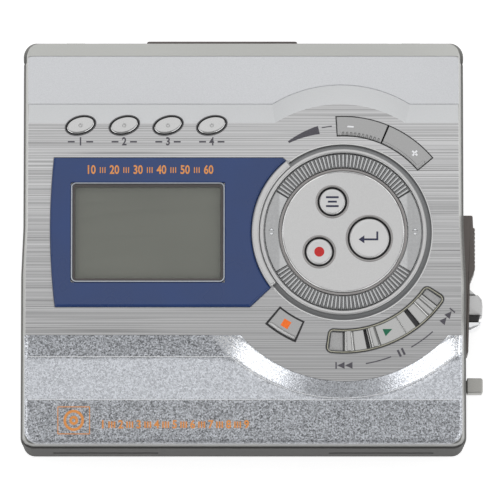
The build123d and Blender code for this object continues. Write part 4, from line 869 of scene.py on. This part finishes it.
# ------------------------------------------------------------ keys round the dial
KEY_GAP = 0.12
KEY_RIM = 0.16
KEY_LINE_INSET = -0.07
VOLUME_RADII = (18.4, 22.2)
VOLUME_ANGLES = (39.8, 67.0, 93.6)
STOP_RADII = (18.7, 22.7)
STOP_ANGLES = (230.2, 246.2)
CHANNEL_RADII = (18.4, 23.2)
CHANNEL_ANGLES = (261.2, 327.6)
CHANNEL_RIM = 0.35
CHANNEL_CORNER = 1.2
REWIND_ANGLES = (269.8, 281.8)
PLAY_ANGLES = (282.7, 307.6)
FORWARD_ANGLES = (309.4, 322.0)


def key_cap(name, radii, angles, relief, finish, foot, counts):
    """A key's cap with its gap all round, from the height foot up."""
    node = f"{name}_key"
    slack = np.degrees(KEY_GAP / (sum(radii) / 2))
    cap = sector(radii[0] + KEY_GAP, radii[1] - KEY_GAP, angles[0] + slack, angles[1] - slack,
                 foot, top_of(node) - 0.15, KEY_RIM, relief, counts)
    finished(f"{name}_cap", cap, finish, replaced=node)


def key_shade_line(name, radii, angles, grow):
    """A thin dark hoop in the gap round a key, which reaches out by grow: painted shade in the gap."""
    def outline(out, z):
        extra = np.degrees(out / (sum(radii) / 2))
        turn = np.linspace(angles[0] - extra, angles[1] + extra, 30)
        radius = np.repeat((radii[0] - out, radii[1] + out), 30)
        return lifted(np.stack(at_dial(radius, np.append(turn, turn[::-1])), -1), z)
    foot, top = face_z - 0.3, face_z + 0.02
    places = ((grow, foot), (grow, top), (KEY_LINE_INSET, top), (KEY_LINE_INSET, foot))
    finished(name, looped([outline(*place) for place in places]), "dark_plastic", slot="dark_plastic")


def down_relief(angle, radius):
    """Small teeth along the inner edge, and a raised minus sign."""
    teeth = 0.5 + 0.5 * np.cos(2 * pi * (angle - VOLUME_ANGLES[1]) / 2.3)
    near = step(-radius, -(VOLUME_RADII[0] + 0.75), 0.1)
    wide = step(angle, 68.5, 0.4) * step(-angle, -92.0, 0.4)
    return -0.22 * np.clip(teeth * 1.6 - 0.4, 0, 1) * near * wide


def up_relief(angle, radius):
    """A raised lip along the inner edge and at the outer end."""
    lip = bell(radius, VOLUME_RADII[0] + 0.34, 0.26) * step(angle, 41.5, 0.5)
    end = bell(angle, VOLUME_ANGLES[0] + 1.5, 0.9) * step(-radius, -(VOLUME_RADII[0] + 2.2), 0.2)
    return 0.15 * np.maximum(lip, end) - 0.02


def stop_relief(angle, radius):
    """The pad slopes down to its outer edge and, less, to its left."""
    outward = step(radius, STOP_RADII[1] - 0.95, 0.8)
    right = step(-angle, -(STOP_ANGLES[0] + 2.2), 1.8)
    return -0.34 * np.maximum(outward, 0.5 * right)


# Each ridge's angle and half its width, how high it stands, and how deep the flat beside it lies.
REWIND_RIDGE = (273.0, 2.7)
PLAY_RIDGE = (286.0, 2.4)
FORWARD_RIDGE = (316.6, 2.4)
RIDGE_RISE = 0.62
FLAT_DROP = 0.5


def rewind_relief(angle, radius):
    """A round ridge at the left, and a flat to its right."""
    middle, half = REWIND_RIDGE
    ridge = bell(angle, middle, half)
    return RIDGE_RISE * ridge - FLAT_DROP - 0.15 * step(-np.abs(angle - middle), -half, 0.3) * (1 - ridge)


def play_relief(angle, radius):
    """A round ridge at the left, a flat for the sign and a raised end at the right."""
    return RIDGE_RISE * bell(angle, *PLAY_RIDGE) - FLAT_DROP + 0.3 * step(angle, 301.2, 1.0)


def forward_relief(angle, radius):
    """A flat at the left, a round ridge, and a slope away to the right."""
    return RIDGE_RISE * bell(angle, *FORWARD_RIDGE) - FLAT_DROP - 0.25 * step(angle, 319.4, 1.6)


def channel_loop(inset):
    """The key channel's outline, shrunk by inset: a round-cornered rectangle bent round the dial."""
    middle = sum(CHANNEL_RADII) / 2
    half_along = np.radians(CHANNEL_ANGLES[1] - CHANNEL_ANGLES[0]) / 2 * middle
    half_across = (CHANNEL_RADII[1] - CHANNEL_RADII[0]) / 2
    flat = filled_in(rounded_rectangle(half_along - inset, half_across - inset, CHANNEL_CORNER - inset), 0.4)
    return np.stack(at_dial(middle + flat[:, 1], sum(CHANNEL_ANGLES) / 2 + np.degrees(flat[:, 0] / middle)), -1)


def channel_hoop(name, profile, finish, slot):
    """A rim round the key channel: a profile of insets and heights carried round its outline."""
    finished(name, looped([lifted(channel_loop(inset), z) for inset, z in profile]), finish, slot=slot)


def key_caps():
    """The six keys' caps, three in the face and three in the channel."""
    tray = (CHANNEL_RADII[0] + CHANNEL_RIM, CHANNEL_RADII[1] - CHANNEL_RIM)
    in_face, in_channel = top_of("volume_up_key") - 1.7, top_of("play_key") - 1.3
    for name, radii, angles, relief, finish, foot, counts in (
        ("volume_down", VOLUME_RADII, VOLUME_ANGLES[1:], down_relief, "grey_keys", in_face, (150, 26)),
        ("volume_up", VOLUME_RADII, VOLUME_ANGLES[:2], up_relief, "grey_keys", in_face, (60, 40)),
        ("stop", STOP_RADII, STOP_ANGLES, stop_relief, "grey_keys", in_face, (30, 30)),
        ("rewind", tray, REWIND_ANGLES, rewind_relief, "channel_keys", in_channel, (80, 10)),
        ("play", tray, PLAY_ANGLES, play_relief, "channel_keys", in_channel, (120, 10)),
        ("forward", tray, FORWARD_ANGLES, forward_relief, "channel_keys", in_channel, (80, 10)),
    ):
        key_cap(name, radii, angles, relief, finish, foot, counts)


def key_channel():
    """The channel's olive rim between two dark lines of painted shade in its gaps, and the pale raised ends of
    its floor.
    """
    top, foot = face_z + 0.1, face_z - 1.4
    rim = [(0.04, foot), (0.04, top - 0.08), (0.12, top), (0.36, top), (0.44, top - 0.1), (0.46, foot)]
    outer_shade_line = [(-0.05, foot), (-0.05, top - 0.07), (0.06, top - 0.07), (0.06, foot)]
    inner_shade_line = [(0.45, foot), (0.45, top - 0.16), (0.55, top - 0.3), (0.55, foot)]
    channel_hoop("channel_rim", rim, "rim_gold", "key_silver")
    # painted shade: dark hoops in the gaps on both sides of the rim
    channel_hoop("channel_outer_shade_line", outer_shade_line, "band_grey", "dark_plastic")
    channel_hoop("channel_inner_shade_line", inner_shade_line, "band_grey", "dark_plastic")
    inner, outer = CHANNEL_RADII[0] + 0.56, CHANNEL_RADII[1] - 0.56
    for side, start, end in (("left", CHANNEL_ANGLES[0] + 1.6, REWIND_ANGLES[0] + 0.1),
                             ("right", FORWARD_ANGLES[1] - 0.1, CHANNEL_ANGLES[1] - 1.6)):
        pad = sector(inner, outer, start, end, foot, face_z - 0.5, 0.2, None, (14, 8))
        finished(f"channel_floor_{side}", pad, "tray_metal", slot="key_silver")


key_caps()
# painted shade: dark hoops in the gaps round the volume and stop keys
key_shade_line("volume_down_shade_line", VOLUME_RADII, VOLUME_ANGLES[1:], 0.06)
key_shade_line("volume_up_shade_line", VOLUME_RADII, VOLUME_ANGLES[:2], 0.06)
key_shade_line("stop_shade_line", STOP_RADII, STOP_ANGLES, 0.2)
key_channel()


# ------------------------------------------------------------ softened CAD pieces
SOFTENED_ANGLE = 12.5


def softened(node, radius, finish=None, segments=3, lean=None):
    """A merged copy of a CAD node's mesh, with its sharp edges rounded. Each corner may be moved along X and Y,
    by lean(x, y, z)."""
    name = f"{node}_skin"
    mesh = frame["nodes"][node].data.copy()
    mesh.name = name
    with editing(mesh) as solid:
        bmesh.ops.remove_doubles(solid, verts=solid.verts, dist=2e-6)
        bmesh.ops.dissolve_degenerate(solid, edges=solid.edges, dist=1e-6)
        bmesh.ops.dissolve_limit(solid, verts=solid.verts, edges=solid.edges, angle_limit=radians(0.6))
        for vertex in solid.verts if lean else ():
            shift = lean(*(vertex.co / MM))
            vertex.co.x += shift[0] * MM
            vertex.co.y += shift[1] * MM
    mesh.shade_smooth()
    mesh.materials.clear()
    mesh.materials.append(finishes[finish or slot_of_node[node]])
    skin = linked(name, mesh)
    bevel = skin.modifiers.new("rounded_edges", "BEVEL")
    bevel.width = radius * MM
    bevel.segments = segments
    bevel.limit_method = "ANGLE"
    bevel.angle_limit = radians(SOFTENED_ANGLE)
    bevel.use_clamp_overlap = True
    skin.modifiers.new("flat_faces", "WEIGHTED_NORMAL").weight = 90
    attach(skin, body_of_node[node])
    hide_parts(node)


# Where the lid's flanks and front wall, the case's front wall and the rail's outer face begin.
FLANK_X = 41.0
FLANK_TOP_Z = 22
LID_WALL_Y = -37.0
CASE_WALL_Y = -38.0
RAIL_FACE_X = 42.5


def lid_lean(x, y, z):
    """The lid's walls lean: its flanks flare a little to their foot, and its front wall stands forward at its
    top and back at its foot."""
    rise = min(max((z - lid_foot - 0.9) / 7.0, 0.0), 1.0)
    outwards = 0.3 * (1 - rise) if abs(x) > FLANK_X and z < FLANK_TOP_Z else 0.0
    forwards = min(max((LID_WALL_Y - y) / 0.6, 0.0), 1.0) * (0.25 - 0.5 * rise)
    return (outwards if x > 0 else -outwards), forwards


def case_lean(x, y, z):
    """The case's front wall leans back towards its top."""
    return 0.0, 0.4 * max(z / lid_foot, 0.0) * (y < CASE_WALL_Y)


def rail_lean(x, y, z):
    """The side rail is slimmer, most of all in front of its grip."""
    return (-0.2 - 0.1 * float(step(-y, 5.0, 3.0)) if x > RAIL_FACE_X else 0.0), 0.0


softened("lid_shell", 0.45, "shell_silver", lean=lid_lean)
softened("rear_cover", 0.16)
softened("display_bezel", 0.4, segments=4)
softened("dial_surround", 0.2)
softened("lower_case", 0.35, lean=case_lean)
softened("side_rail", 0.3, lean=rail_lean)
softened("terminal_cover", 0.3)
softened("hold_knob", 0.45, "knob_olive", 4)
softened("key_tray", 0.1, "grey_plastic")


# ------------------------------------------------------------ front cover
COVER_RIM = 0.75
COVER_CORNER = 2.4
COVER_THICKNESS = 0.85
CREASE_ROUNDING = 0.22
STEP_DROP = 2.2
CHIN_FALL = 2.2 / 8.7


def softmax(first, second, width):
    """The greater of two values, rounded over where they are nearer than width."""
    near = np.maximum(width - np.abs(first - second), 0)
    return np.maximum(first, second) + near ** 2 / (4 * width)


def beyond(x, y, arc):
    """How far a place lies outside one of the arched edges."""
    return np.hypot(x - dial_x - arc[0], y - dial_y - arc[1]) - arc[2]


def cover_height(x, y):
    """The cover's height: a flat that tips down ahead of the crease, and a slope up to the face plate that
    follows the plate's straight edge and its arch. The share of the slope's rise is the greater of the two,
    with both ends eased."""
    flat = -softmax((CREASE_Y - y) * CHIN_FALL, np.zeros_like(y), 2 * CREASE_ROUNDING * CHIN_FALL)
    straight = (y - SLOPE_FOOT_Y) / SLOPE_RUN
    inward = -beyond(x, y, FOOT_ARC)
    outward = beyond(x, y, TOP_ARC)
    arched = np.where(inward > 0, inward / np.maximum(inward + np.maximum(outward, 0), 1e-6), inward / 4)
    share = softmax(straight, arched, 0.5)
    eased = softmax(share, np.zeros_like(share), 0.16)
    eased = 1 - softmax(1 - eased, np.zeros_like(share), 0.08)
    return face_z - STEP_DROP + flat + STEP_DROP * np.clip(eased, 0, 1)


def front_cover():
    """The sparkling cover over the lid's front, as a grid: across in X, and in each column from the rolled
    front edge to the face plate. Its edges fall as a quarter circle of COVER_RIM."""
    low, high = corners("front_cover")
    half, front = high[0], low[1] - 0.28
    column = edged(-half, half, COVER_RIM, 330, 8)
    row = np.append(edged(0.0, 1.0, 0.035, 96, 8)[:-5], 1.0)
    x = np.repeat(column[:, None], len(row), 1)
    into_corner = np.clip(np.abs(x) - half + COVER_CORNER, 0, COVER_CORNER)
    y0 = front + COVER_CORNER - np.sqrt(COVER_CORNER ** 2 - into_corner ** 2)
    reach = TOP_ARC[2] ** 2 - (x - dial_x - TOP_ARC[0]) ** 2
    arch = np.where(reach > 0, dial_y + TOP_ARC[1] - np.sqrt(np.maximum(reach, 0)), PLATE_FRONT_Y)
    y1 = np.minimum(arch, PLATE_FRONT_Y) - 0.04
    y = y0 + row * (y1 - y0)
    ahead = np.hypot(into_corner, np.maximum(front + COVER_CORNER - y, 0))
    in_corner = (into_corner > 0) & (y < front + COVER_CORNER)
    from_edge = np.where(in_corner, COVER_CORNER - ahead, np.minimum(half - np.abs(x), y - front))
    z = cover_height(x, y) - rounding(np.maximum(from_edge, 0), COVER_RIM)
    cover = slab(np.stack([x, y, z], -1), z - COVER_THICKNESS)
    finished("front_cover_skin", cover, "sparkle_paint", replaced="front_cover", sharp=50.0)


front_cover()


# ------------------------------------------------------------ display frame, creases and side grips
def display_frame():
    """The bright frame round the display: a profile of insets and heights carried round a round-cornered
    rectangle, with a dark step of painted shadow inside it."""
    low, high = corners("display_frame")
    half = (high - low)[:2] / 2
    top = high[2] - 0.05
    glass = top_of("display_window")

    def hoop(profile):
        return looped([
            lifted(rounded_rectangle(half[0] - inset, half[1] - inset, max(1.0 - inset, 0.25))
                   + centre_of("display_frame"), z) for inset, z in profile])

    bright = [(0.0, glass - 0.5), (0.0, top - 0.12), (0.06, top - 0.03), (0.16, top), (0.3, top - 0.05),
              (0.4, top - 0.22), (0.44, glass - 0.5)]
    finished("display_frame_hoop", hoop(bright), "frame_chrome", replaced="display_frame")
    # painted shadow: a dark step just inside the frame
    dark = [(0.42, glass - 0.5), (0.42, top - 0.3), (0.78, glass + 0.05), (0.78, glass - 0.5)]
    finished("display_frame_shadow_step", hoop(dark), "gap_brown", slot="dark_plastic")


def bead(name, line, radius):
    """A fine bright bead: a small round section carried along a line of points."""
    turn = full_turn(8)
    ahead = np.gradient(line, axis=0)
    side = np.stack([ahead[:, 1], -ahead[:, 0], np.zeros(len(line))], -1)
    side /= np.linalg.norm(side, axis=1, keepdims=True)
    up = np.array([0.0, 0.0, 1.0])
    rings = [place + radius * (np.cos(turn)[:, None] * across + np.sin(turn)[:, None] * up)
             for place, across in zip(line, side)]
    finished(name, stacked(rings), "edge_gloss", slot="silver_paint")


def creases():
    """Bright beads where the front cover turns: its crease, and the foot of the slope, straight and arched."""
    cover = surface_of("front_cover_skin")
    half = corners("front_cover")[1][0] - COVER_RIM
    arc_x, arc_y, arc_radius = dial_x + FOOT_ARC[0], dial_y + FOOT_ARC[1], FOOT_ARC[2]
    meet = arc_x - np.sqrt(arc_radius ** 2 - (SLOPE_FOOT_Y - arc_y) ** 2)
    start = np.degrees(np.arctan2(SLOPE_FOOT_Y - arc_y, meet - arc_x))
    turn = np.radians(np.linspace(start, -np.degrees(np.arccos((half - arc_x) / arc_radius)), 60))
    for name, x, y in (
        ("chin_crease", np.linspace(-half, half, 80), np.full(80, CREASE_Y)),
        ("slope_foot", np.linspace(-half, meet, 40), np.full(40, SLOPE_FOOT_Y)),
        ("arc_foot", arc_x + arc_radius * np.cos(turn), arc_y + arc_radius * np.sin(turn)),
    ):
        z = np.array([cover(*place) for place in zip(x, y)])
        bead(name, np.stack([x, y, z - 0.03], -1), 0.1)


def plinth(outline, low, high, roll):
    """Points and faces of an upright block over an outline, whose top and foot edges are rolled: rings that
    shrink towards the outline's middle as a quarter circle."""
    centre = outline.mean(0)
    reach = np.abs(outline - centre).max()
    turn = quarter_turn(5)
    rings = []
    for z, way in ((low + roll, -1), (high - roll, 1)):
        for t in (turn[::-1] if way < 0 else turn):
            share = 1 - roll * (1 - cos(t)) / reach
            rings.append(lifted(centre + (outline - centre) * share, z + way * roll * sin(t)))
    return stacked(rings)


OPEN_KNOB_STOPS = (1.9, 5.9, 7.1)
OPEN_KNOB_ROLL = 0.5


def open_knob():
    """The sliding open knob: a ramp at its rear, a pale face, a black band and a rounded bright tail. The stops
    are how far from its rear the face, the band and the tail start."""
    low, high = corners("open_knob")
    out, inside = high[0] - 0.7, low[0] + 0.3
    rear, front = high[1], low[1]
    face_rear, band_rear, tail_rear = (rear - stop for stop in OPEN_KNOB_STOPS)
    for name, finish, outline in (
        ("ramp", "key_silver", [(inside, rear), (inside + 1.9, rear), (out - 1.3, face_rear),
                                (inside, face_rear)]),
        ("face", "key_silver", [(inside, face_rear), (out - 0.9, face_rear), (out - 0.15, face_rear - 0.9),
                                (out, face_rear - 2.2), (out - 0.1, band_rear), (inside, band_rear)]),
        ("band", "dark_plastic", [(inside, band_rear), (out - 0.5, band_rear), (out - 0.8, tail_rear),
                                  (inside, tail_rear)]),
        ("tail", "bright_metal", [(inside, tail_rear), (out - 0.2, tail_rear), (out - 0.5, tail_rear - 0.8),
                                  (out - 2.2, front), (inside, front)]),
    ):
        block = plinth(filled_in(np.array(outline), 0.5), low[2], high[2], OPEN_KNOB_ROLL)
        finished(f"open_knob_{name}", block, finish, body_of_node["open_knob"], slot_of_node["open_knob"],
                 "open_knob" if name == "face" else None)


def rail_grip():
    """Upright ribs along the swelling of the side rail: half rounds repeated along Y."""
    low, high = corners("side_rail")
    rib = [(0.2, low[2] + 1.0), (0.42, low[2] + 1.3), (0.42, high[2] - 1.3), (0.2, high[2] - 1.0)]
    ribs = [turned(rib, (high[0] - 0.52, place), 10) for place in np.arange(-3.4, 3.7, 0.78)]
    finished("side_rail_grip", merged(ribs), "brown_rubber", body_of_node["side_rail"],
             slot_of_node["side_rail"])


# ------------------------------------------------------------ printed signs
def surface_of(*names):
    """The skin of CAD nodes and pieces, as a function that gives its height in millimetres at X and Y."""
    trees = []
    for name in names:
        mesh = bpy.data.objects[name].data if name in bpy.data.objects else frame["nodes"][name].data
        points = [vertex.co / MM for vertex in mesh.vertices]
        trees.append(BVHTree.FromPolygons(points, [polygon.vertices[:] for polygon in mesh.polygons]))

    def height(x, y):
        hits = [tree.ray_cast(Vector((x, y, 60.0)), Vector((0, 0, -1)))[0] for tree in trees]
        return max(hit.z for hit in hits if hit)

    return height


INK_DEPTH = 0.08
INK_LIFT = 0.02
SIGN_LIFT = 0.06
SIGN_RADIUS = 25.4
SKIP_ANGLES = (270.6, 320.4)
PAUSE_ANGLE = 295.5
LEADER_ANGLES = ((279.6, 290.8), (300.3, 311.7))
VOLUME_LEADER = (20.3, 20.5, 96.0, 101.4)
WEDGE_RADIUS = 20.1
WEDGE_ANGLES = (103.2, 121.0)
LABEL_Y = 18.5
LABEL_SIZE = 2.1
SCALE_SIZE = 2.3
SCALE_X = (-28.9, -6.6)
SCALE_Y = 13.0
CHIN_X = (-26.6, 0.6)
CHIN_Y = -35.1
BADGE_X = (-35.1, -29.1)
BADGE_Y = (-36.8, -31.8)
BADGE_LINE = 0.16
BADGE_RINGS = ((1.45, 1.95), (0.35, 0.85))
# The keys' signs, each at a radius and an angle about the dial.
PLAY_SIGN = (20.6, 294.3)
STOP_SIGN = (20.6, 238.2)
MINUS_SIGN = (20.2, 86.0)
PLUS_SIGN = (20.3, 48.0)


def printed(name, outlines, surface, finish, body="lid", lift=INK_LIFT):
    """Flat signs on a surface: each outline, a convex ring of X and Y, is stacked from just under the surface
    to just over it."""
    shapes = []
    for outline in outlines:
        heights = np.array([surface(x, y) for x, y in outline])
        shapes.append(stacked([lifted(outline, heights + offset) for offset in (-INK_DEPTH, lift)]))
    finished(name, merged(shapes), finish, body)


def turned_flat(outline, turn):
    """An outline turned about the origin by an angle in degrees."""
    c, s = cos(radians(turn)), sin(radians(turn))
    return np.asarray(outline, float) @ np.array([[c, s], [-s, c]])


def bar(x, y, width, height, turn=0.0):
    """A rectangle's corners about a centre, turned by an angle in degrees."""
    corner = np.array([(-width, -height), (width, -height), (width, height), (-width, height)]) / 2
    return turned_flat(corner, turn) + (x, y)


def arrow(x, y, width, height, turn=0.0):
    """A solid triangle that points along the turn."""
    corner = np.array([(-width / 2, -height / 2), (width / 2, 0.0), (-width / 2, height / 2)])
    return turned_flat(corner, turn) + (x, y)


def band(start, end, count, inner, outer):
    """A flat stretch of a ring about the dial, as quads in a row, whose radii are inner(angle) and
    outer(angle)."""
    angles = np.linspace(start, end, count)
    return [[at_dial(reach(a), a) for reach, a in ((inner, a0), (outer, a0), (outer, a1), (inner, a1))]
            for a0, a1 in zip(angles, angles[1:])]


def numerals(name, text, size, places, surface, finish, stretch=1.0, weight=0.0):
    """Plain numbers from the built-in letter shapes: each text's prism is merged, moved to its place and laid
    on the surface."""
    mesh = bpy.data.meshes.new(name)
    with editing(mesh) as joined:
        for words, (x, y) in zip(text, places):
            curve = bpy.data.curves.new(name, "FONT")
            curve.body = words
            curve.size = size * MM
            curve.offset = weight * MM
            curve.align_x = curve.align_y = "CENTER"
            curve.extrude = (INK_DEPTH + INK_LIFT) / 2 * MM
            curve.resolution_u = 3
            holder = bpy.data.objects.new(name, curve)
            prism = bpy.data.meshes.new_from_object(holder)
            flat = np.array([vertex.co for vertex in prism.vertices]) / MM
            flat[:, 0] *= stretch
            flat[:, :2] += (x, y)
            flat[:, 2] += [surface(px, py) - (INK_DEPTH - INK_LIFT) / 2 for px, py in flat[:, :2]]
            prism.vertices.foreach_set("co", (flat * MM).ravel())
            joined.from_mesh(prism)
            bpy.data.objects.remove(holder)
            bpy.data.curves.remove(curve)
            bpy.data.meshes.remove(prism)
        bmesh.ops.remove_doubles(joined, verts=joined.verts, dist=WELD)
    mesh.materials.append(finishes[finish])
    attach(linked(name, mesh), "lid")


display_frame()
creases()
open_knob()
rail_grip()

face = surface_of("face_plate", "front_cover_skin")


def oval_numbers():
    """A number between two dashes under each oval button."""
    across = [centre_of(button)[0] for button in OVAL_BUTTONS]
    places = [(x, LABEL_Y) for x in across]
    numerals("button_numbers", "1234", LABEL_SIZE, places, face, "slate_ink", 0.85, 0.06)
    dashes = [bar(x + side * 1.75, LABEL_Y, 1.3, 0.3) for x in across for side in (-1, 1)]
    printed("button_dashes", dashes, face, "slate_ink")


def transport_signs():
    """The skip, pause and leader signs outside the key channel, and the volume wedge and its leader."""
    signs = []
    for angle, way in zip(SKIP_ANGLES, (180.0, 0.0)):
        turn = angle - 270 + way
        centre = np.array(at_dial(SIGN_RADIUS, angle))
        signs += [arrow(*(centre + turned_flat((along, 0.0), turn)), 1.4, 1.3, turn) for along in (-0.75, 0.75)]
        signs.append(bar(*(centre + turned_flat((1.65, 0.0), turn)), 0.28, 1.3, turn))
    for offset in (-0.42, 0.42):
        place = at_dial(SIGN_RADIUS, PAUSE_ANGLE + np.degrees(offset / SIGN_RADIUS))
        signs.append(bar(*place, 0.42, 1.4, PAUSE_ANGLE - 270))
    for start, end in LEADER_ANGLES:
        signs += band(start, end, 14, lambda a: SIGN_RADIUS - 0.11, lambda a: SIGN_RADIUS + 0.11)
    inner, outer, start, end = VOLUME_LEADER
    signs += band(start, end, 4, lambda a: inner, lambda a: outer)
    start, end = WEDGE_ANGLES

    def wedge(side):
        return lambda a: WEDGE_RADIUS + side * (0.2 + 0.6 * (end - a) / (end - start))

    signs += band(start, end, 12, wedge(-1), wedge(1))
    printed("transport_signs", signs, face, "slate_ink")


def button_signs():
    """Signs on the keys: a red dot, a bent arrow, cut bars, a green triangle and an orange square."""
    def sign(name, body, outlines, finish, lift=INK_LIFT):
        printed(name, outlines, surface_of(body.replace("_key", "") + "_cap"), finish, body, lift)

    sign("record_dot", "record_button", [circle(0.95, 0.0, centre_of("record_button"), 28)[:, :2]], "red_ink")
    x, y = centre_of("edit_button")
    bars = [bar(x, y + row, 2.4 - shrink, 0.36) for row, shrink in ((0.85, 0.0), (0.0, 0.7), (-0.85, 0.0))]
    sign("edit_bars", "edit_button", bars, "navy_ink")
    x, y = centre_of("enter_button")
    sign("enter_arrow", "enter_button", [bar(x + 1.5, y + 0.55, 0.36, 1.5), bar(x + 0.3, y - 0.2, 2.76, 0.36),
                                         arrow(x - 1.5, y - 0.2, 1.1, 1.5, 180.0)], "navy_ink")
    sign("play_triangle", "play_key", [arrow(*at_dial(*PLAY_SIGN), 1.7, 1.5, 24.0)], "green_ink")
    sign("stop_square", "stop_key", [bar(*at_dial(*STOP_SIGN), 1.5, 1.5, STOP_SIGN[1] - 270)], "bright_orange")
    minus = [bar(*at_dial(*MINUS_SIGN), 1.2, 0.3, MINUS_SIGN[1] - 90)]
    sign("minus_sign", "volume_down_key", minus, "bright_metal", SIGN_LIFT)
    plus = [bar(*at_dial(*PLUS_SIGN), *size, PLUS_SIGN[1] - 90) for size in ((1.3, 0.34), (0.34, 1.3))]
    sign("plus_sign", "volume_up_key", plus, "bright_metal", SIGN_LIFT)


def bezel_scale():
    """An orange number scale over the display."""
    bezel = surface_of("display_bezel")
    places = np.linspace(*SCALE_X, 6)
    numerals("bezel_numbers", [str(10 * (i + 1)) for i in range(6)], SCALE_SIZE,
             [(x, SCALE_Y) for x in places], bezel, "orange_ink", 0.8, 0.05)
    gap = places[1] - places[0]
    ticks = [bar(x + gap * share, SCALE_Y, 0.18, 1.1) for x in places[:-1] for share in (0.4, 0.5, 0.6)]
    printed("bezel_ticks", ticks, bezel, "orange_ink")


def chin_prints():
    """An outlined square with a disc sign in it, and a row of small numbers and ticks, on the chin."""
    chin = surface_of("front_cover_skin")
    x, y = sum(BADGE_X) / 2, sum(BADGE_Y) / 2
    signs = [bar(x, edge, BADGE_X[1] - BADGE_X[0], BADGE_LINE) for edge in BADGE_Y]
    signs += [bar(edge, y, BADGE_LINE, BADGE_Y[1] - BADGE_Y[0]) for edge in BADGE_X]
    turn = np.linspace(0, 2 * pi, 37)
    for inner, outer in BADGE_RINGS:
        signs += [[(x + r * cos(t), y + r * sin(t))
                   for r, t in ((inner, t0), (outer, t0), (outer, t1), (inner, t1))]
                  for t0, t1 in zip(turn, turn[1:])]
    places = np.linspace(*CHIN_X, 9)
    gap = places[1] - places[0]
    signs += [bar(x + gap * share, CHIN_Y, 0.3, 1.2) for x in places[:-1] for share in (0.35, 0.5, 0.65)]
    printed("chin_signs", signs, chin, "orange_ink", lift=0.05)
    numerals("chin_numbers", "123456789", LABEL_SIZE, [(x, CHIN_Y) for x in places],
             chin, "orange_ink", 0.95, 0.06)


oval_numbers()
transport_signs()
button_signs()
bezel_scale()
chin_prints()


# ------------------------------------------------------------ floor and light
FLOOR_SIZE = 6.0
FLOOR_DROP = 0.2
FLOOR_INSET = 1.4
FLOOR_GREY = 0.62
FLOOR_GLOW = 0.7
ROOM_LEVEL = 0.34
# Each lamp's bearing and elevation in degrees, its distance, width and height in metres, and its radiance.
LAMPS = {
    "top_light": (90.0, 56.0, 0.9, 1.5, 1.7, 0.66),
    "front_left_light": (224.0, 30.0, 0.8, 0.62, 0.3, 1.7),
    "front_right_light": (316.0, 30.0, 0.8, 0.62, 0.3, 1.7),
    "left_light": (182.0, 26.0, 0.8, 0.4, 0.3, 1.4),
    "right_light": (358.0, 26.0, 0.8, 0.4, 0.3, 1.4),
}


def floor():
    """A pale sheet just under the player, plain white to the camera and in reflections, with a soft shadow.
    It is open under the middle of the player, and see-through from below."""
    mesh = bpy.data.meshes.new("floor")
    z = cad_box[0][2] - FLOOR_DROP * MM
    near, far = (corner * MM for corner in corners("lower_case"))
    inset = FLOOR_INSET * MM
    outlines = ((-FLOOR_SIZE, -FLOOR_SIZE, FLOOR_SIZE, FLOOR_SIZE), (*(near[:2] + inset), *(far[:2] - inset)))
    places = [(x, y, z) for a, b, c, d in outlines for x, y in ((a, b), (c, b), (c, d), (a, d))]
    mesh.from_pydata(places, [], [(i, (i + 1) % 4, 4 + (i + 1) % 4, 4 + i) for i in range(4)])
    paint = bpy.data.materials.new("floor_paint")
    paint.use_nodes = True
    tree = paint.node_tree
    tree.nodes.clear()
    path = add_node(tree, "ShaderNodeLightPath")
    seen = path.outputs["Is Camera Ray"]
    for other in ("Is Glossy Ray", "Is Transmission Ray"):
        either = add_node(tree, "ShaderNodeMath", {0: seen, 1: path.outputs[other]}, operation="MAXIMUM")
        seen = either.outputs["Value"]
    strength = add_node(tree, "ShaderNodeMath", {0: seen, 1: FLOOR_GLOW}, operation="MULTIPLY")
    glow = add_node(tree, "ShaderNodeEmission", {"Strength": strength.outputs["Value"]})
    matt = add_node(tree, "ShaderNodeBsdfDiffuse", {"Color": (FLOOR_GREY, FLOOR_GREY, FLOOR_GREY, 1)})
    above = add_node(tree, "ShaderNodeAddShader", {0: glow.outputs["Emission"], 1: matt.outputs["BSDF"]})
    below = add_node(tree, "ShaderNodeBsdfTransparent")
    one_way = add_node(tree, "ShaderNodeMixShader", {
        0: add_node(tree, "ShaderNodeNewGeometry").outputs["Backfacing"],
        1: above.outputs["Shader"], 2: below.outputs["BSDF"],
    })
    add_node(tree, "ShaderNodeOutputMaterial", {"Surface": one_way.outputs["Shader"]})
    mesh.materials.append(paint)
    linked("floor", mesh)


def softbox(name, bearing, elevation, distance, width, height, radiance):
    """A rectangular lamp that looks at the player, of the given radiance."""
    lamp = bpy.data.lights.new(name, "AREA")
    lamp.shape = "RECTANGLE"
    lamp.size = width
    lamp.size_y = height
    lamp.energy = radiance * pi * width * height
    turn, tilt = radians(bearing), radians(elevation)
    target = Vector((0, 0, 0.02))
    towards = Vector((cos(turn) * cos(tilt), sin(turn) * cos(tilt), sin(tilt)))
    aimed(linked(name, lamp), target + towards * distance, target)


def world_light(level):
    """Even light from all round, and plain white to the camera."""
    world = bpy.data.worlds.new("room")
    world.use_nodes = True
    tree = world.node_tree
    background = tree.nodes["Background"]
    feed(tree, background.inputs["Color"], (1, 1, 1, 1))
    seen = add_node(tree, "ShaderNodeLightPath").outputs["Is Camera Ray"]
    strength = add_node(tree, "ShaderNodeMapRange", {"Value": seen, "To Min": level})
    feed(tree, background.inputs["Strength"], strength.outputs["Result"])
    bpy.context.scene.world = world


floor()
world_light(ROOM_LEVEL)
for lamp, placed in LAMPS.items():
    softbox(lamp, *placed)
bpy.context.scene.view_settings.view_transform = "Standard"
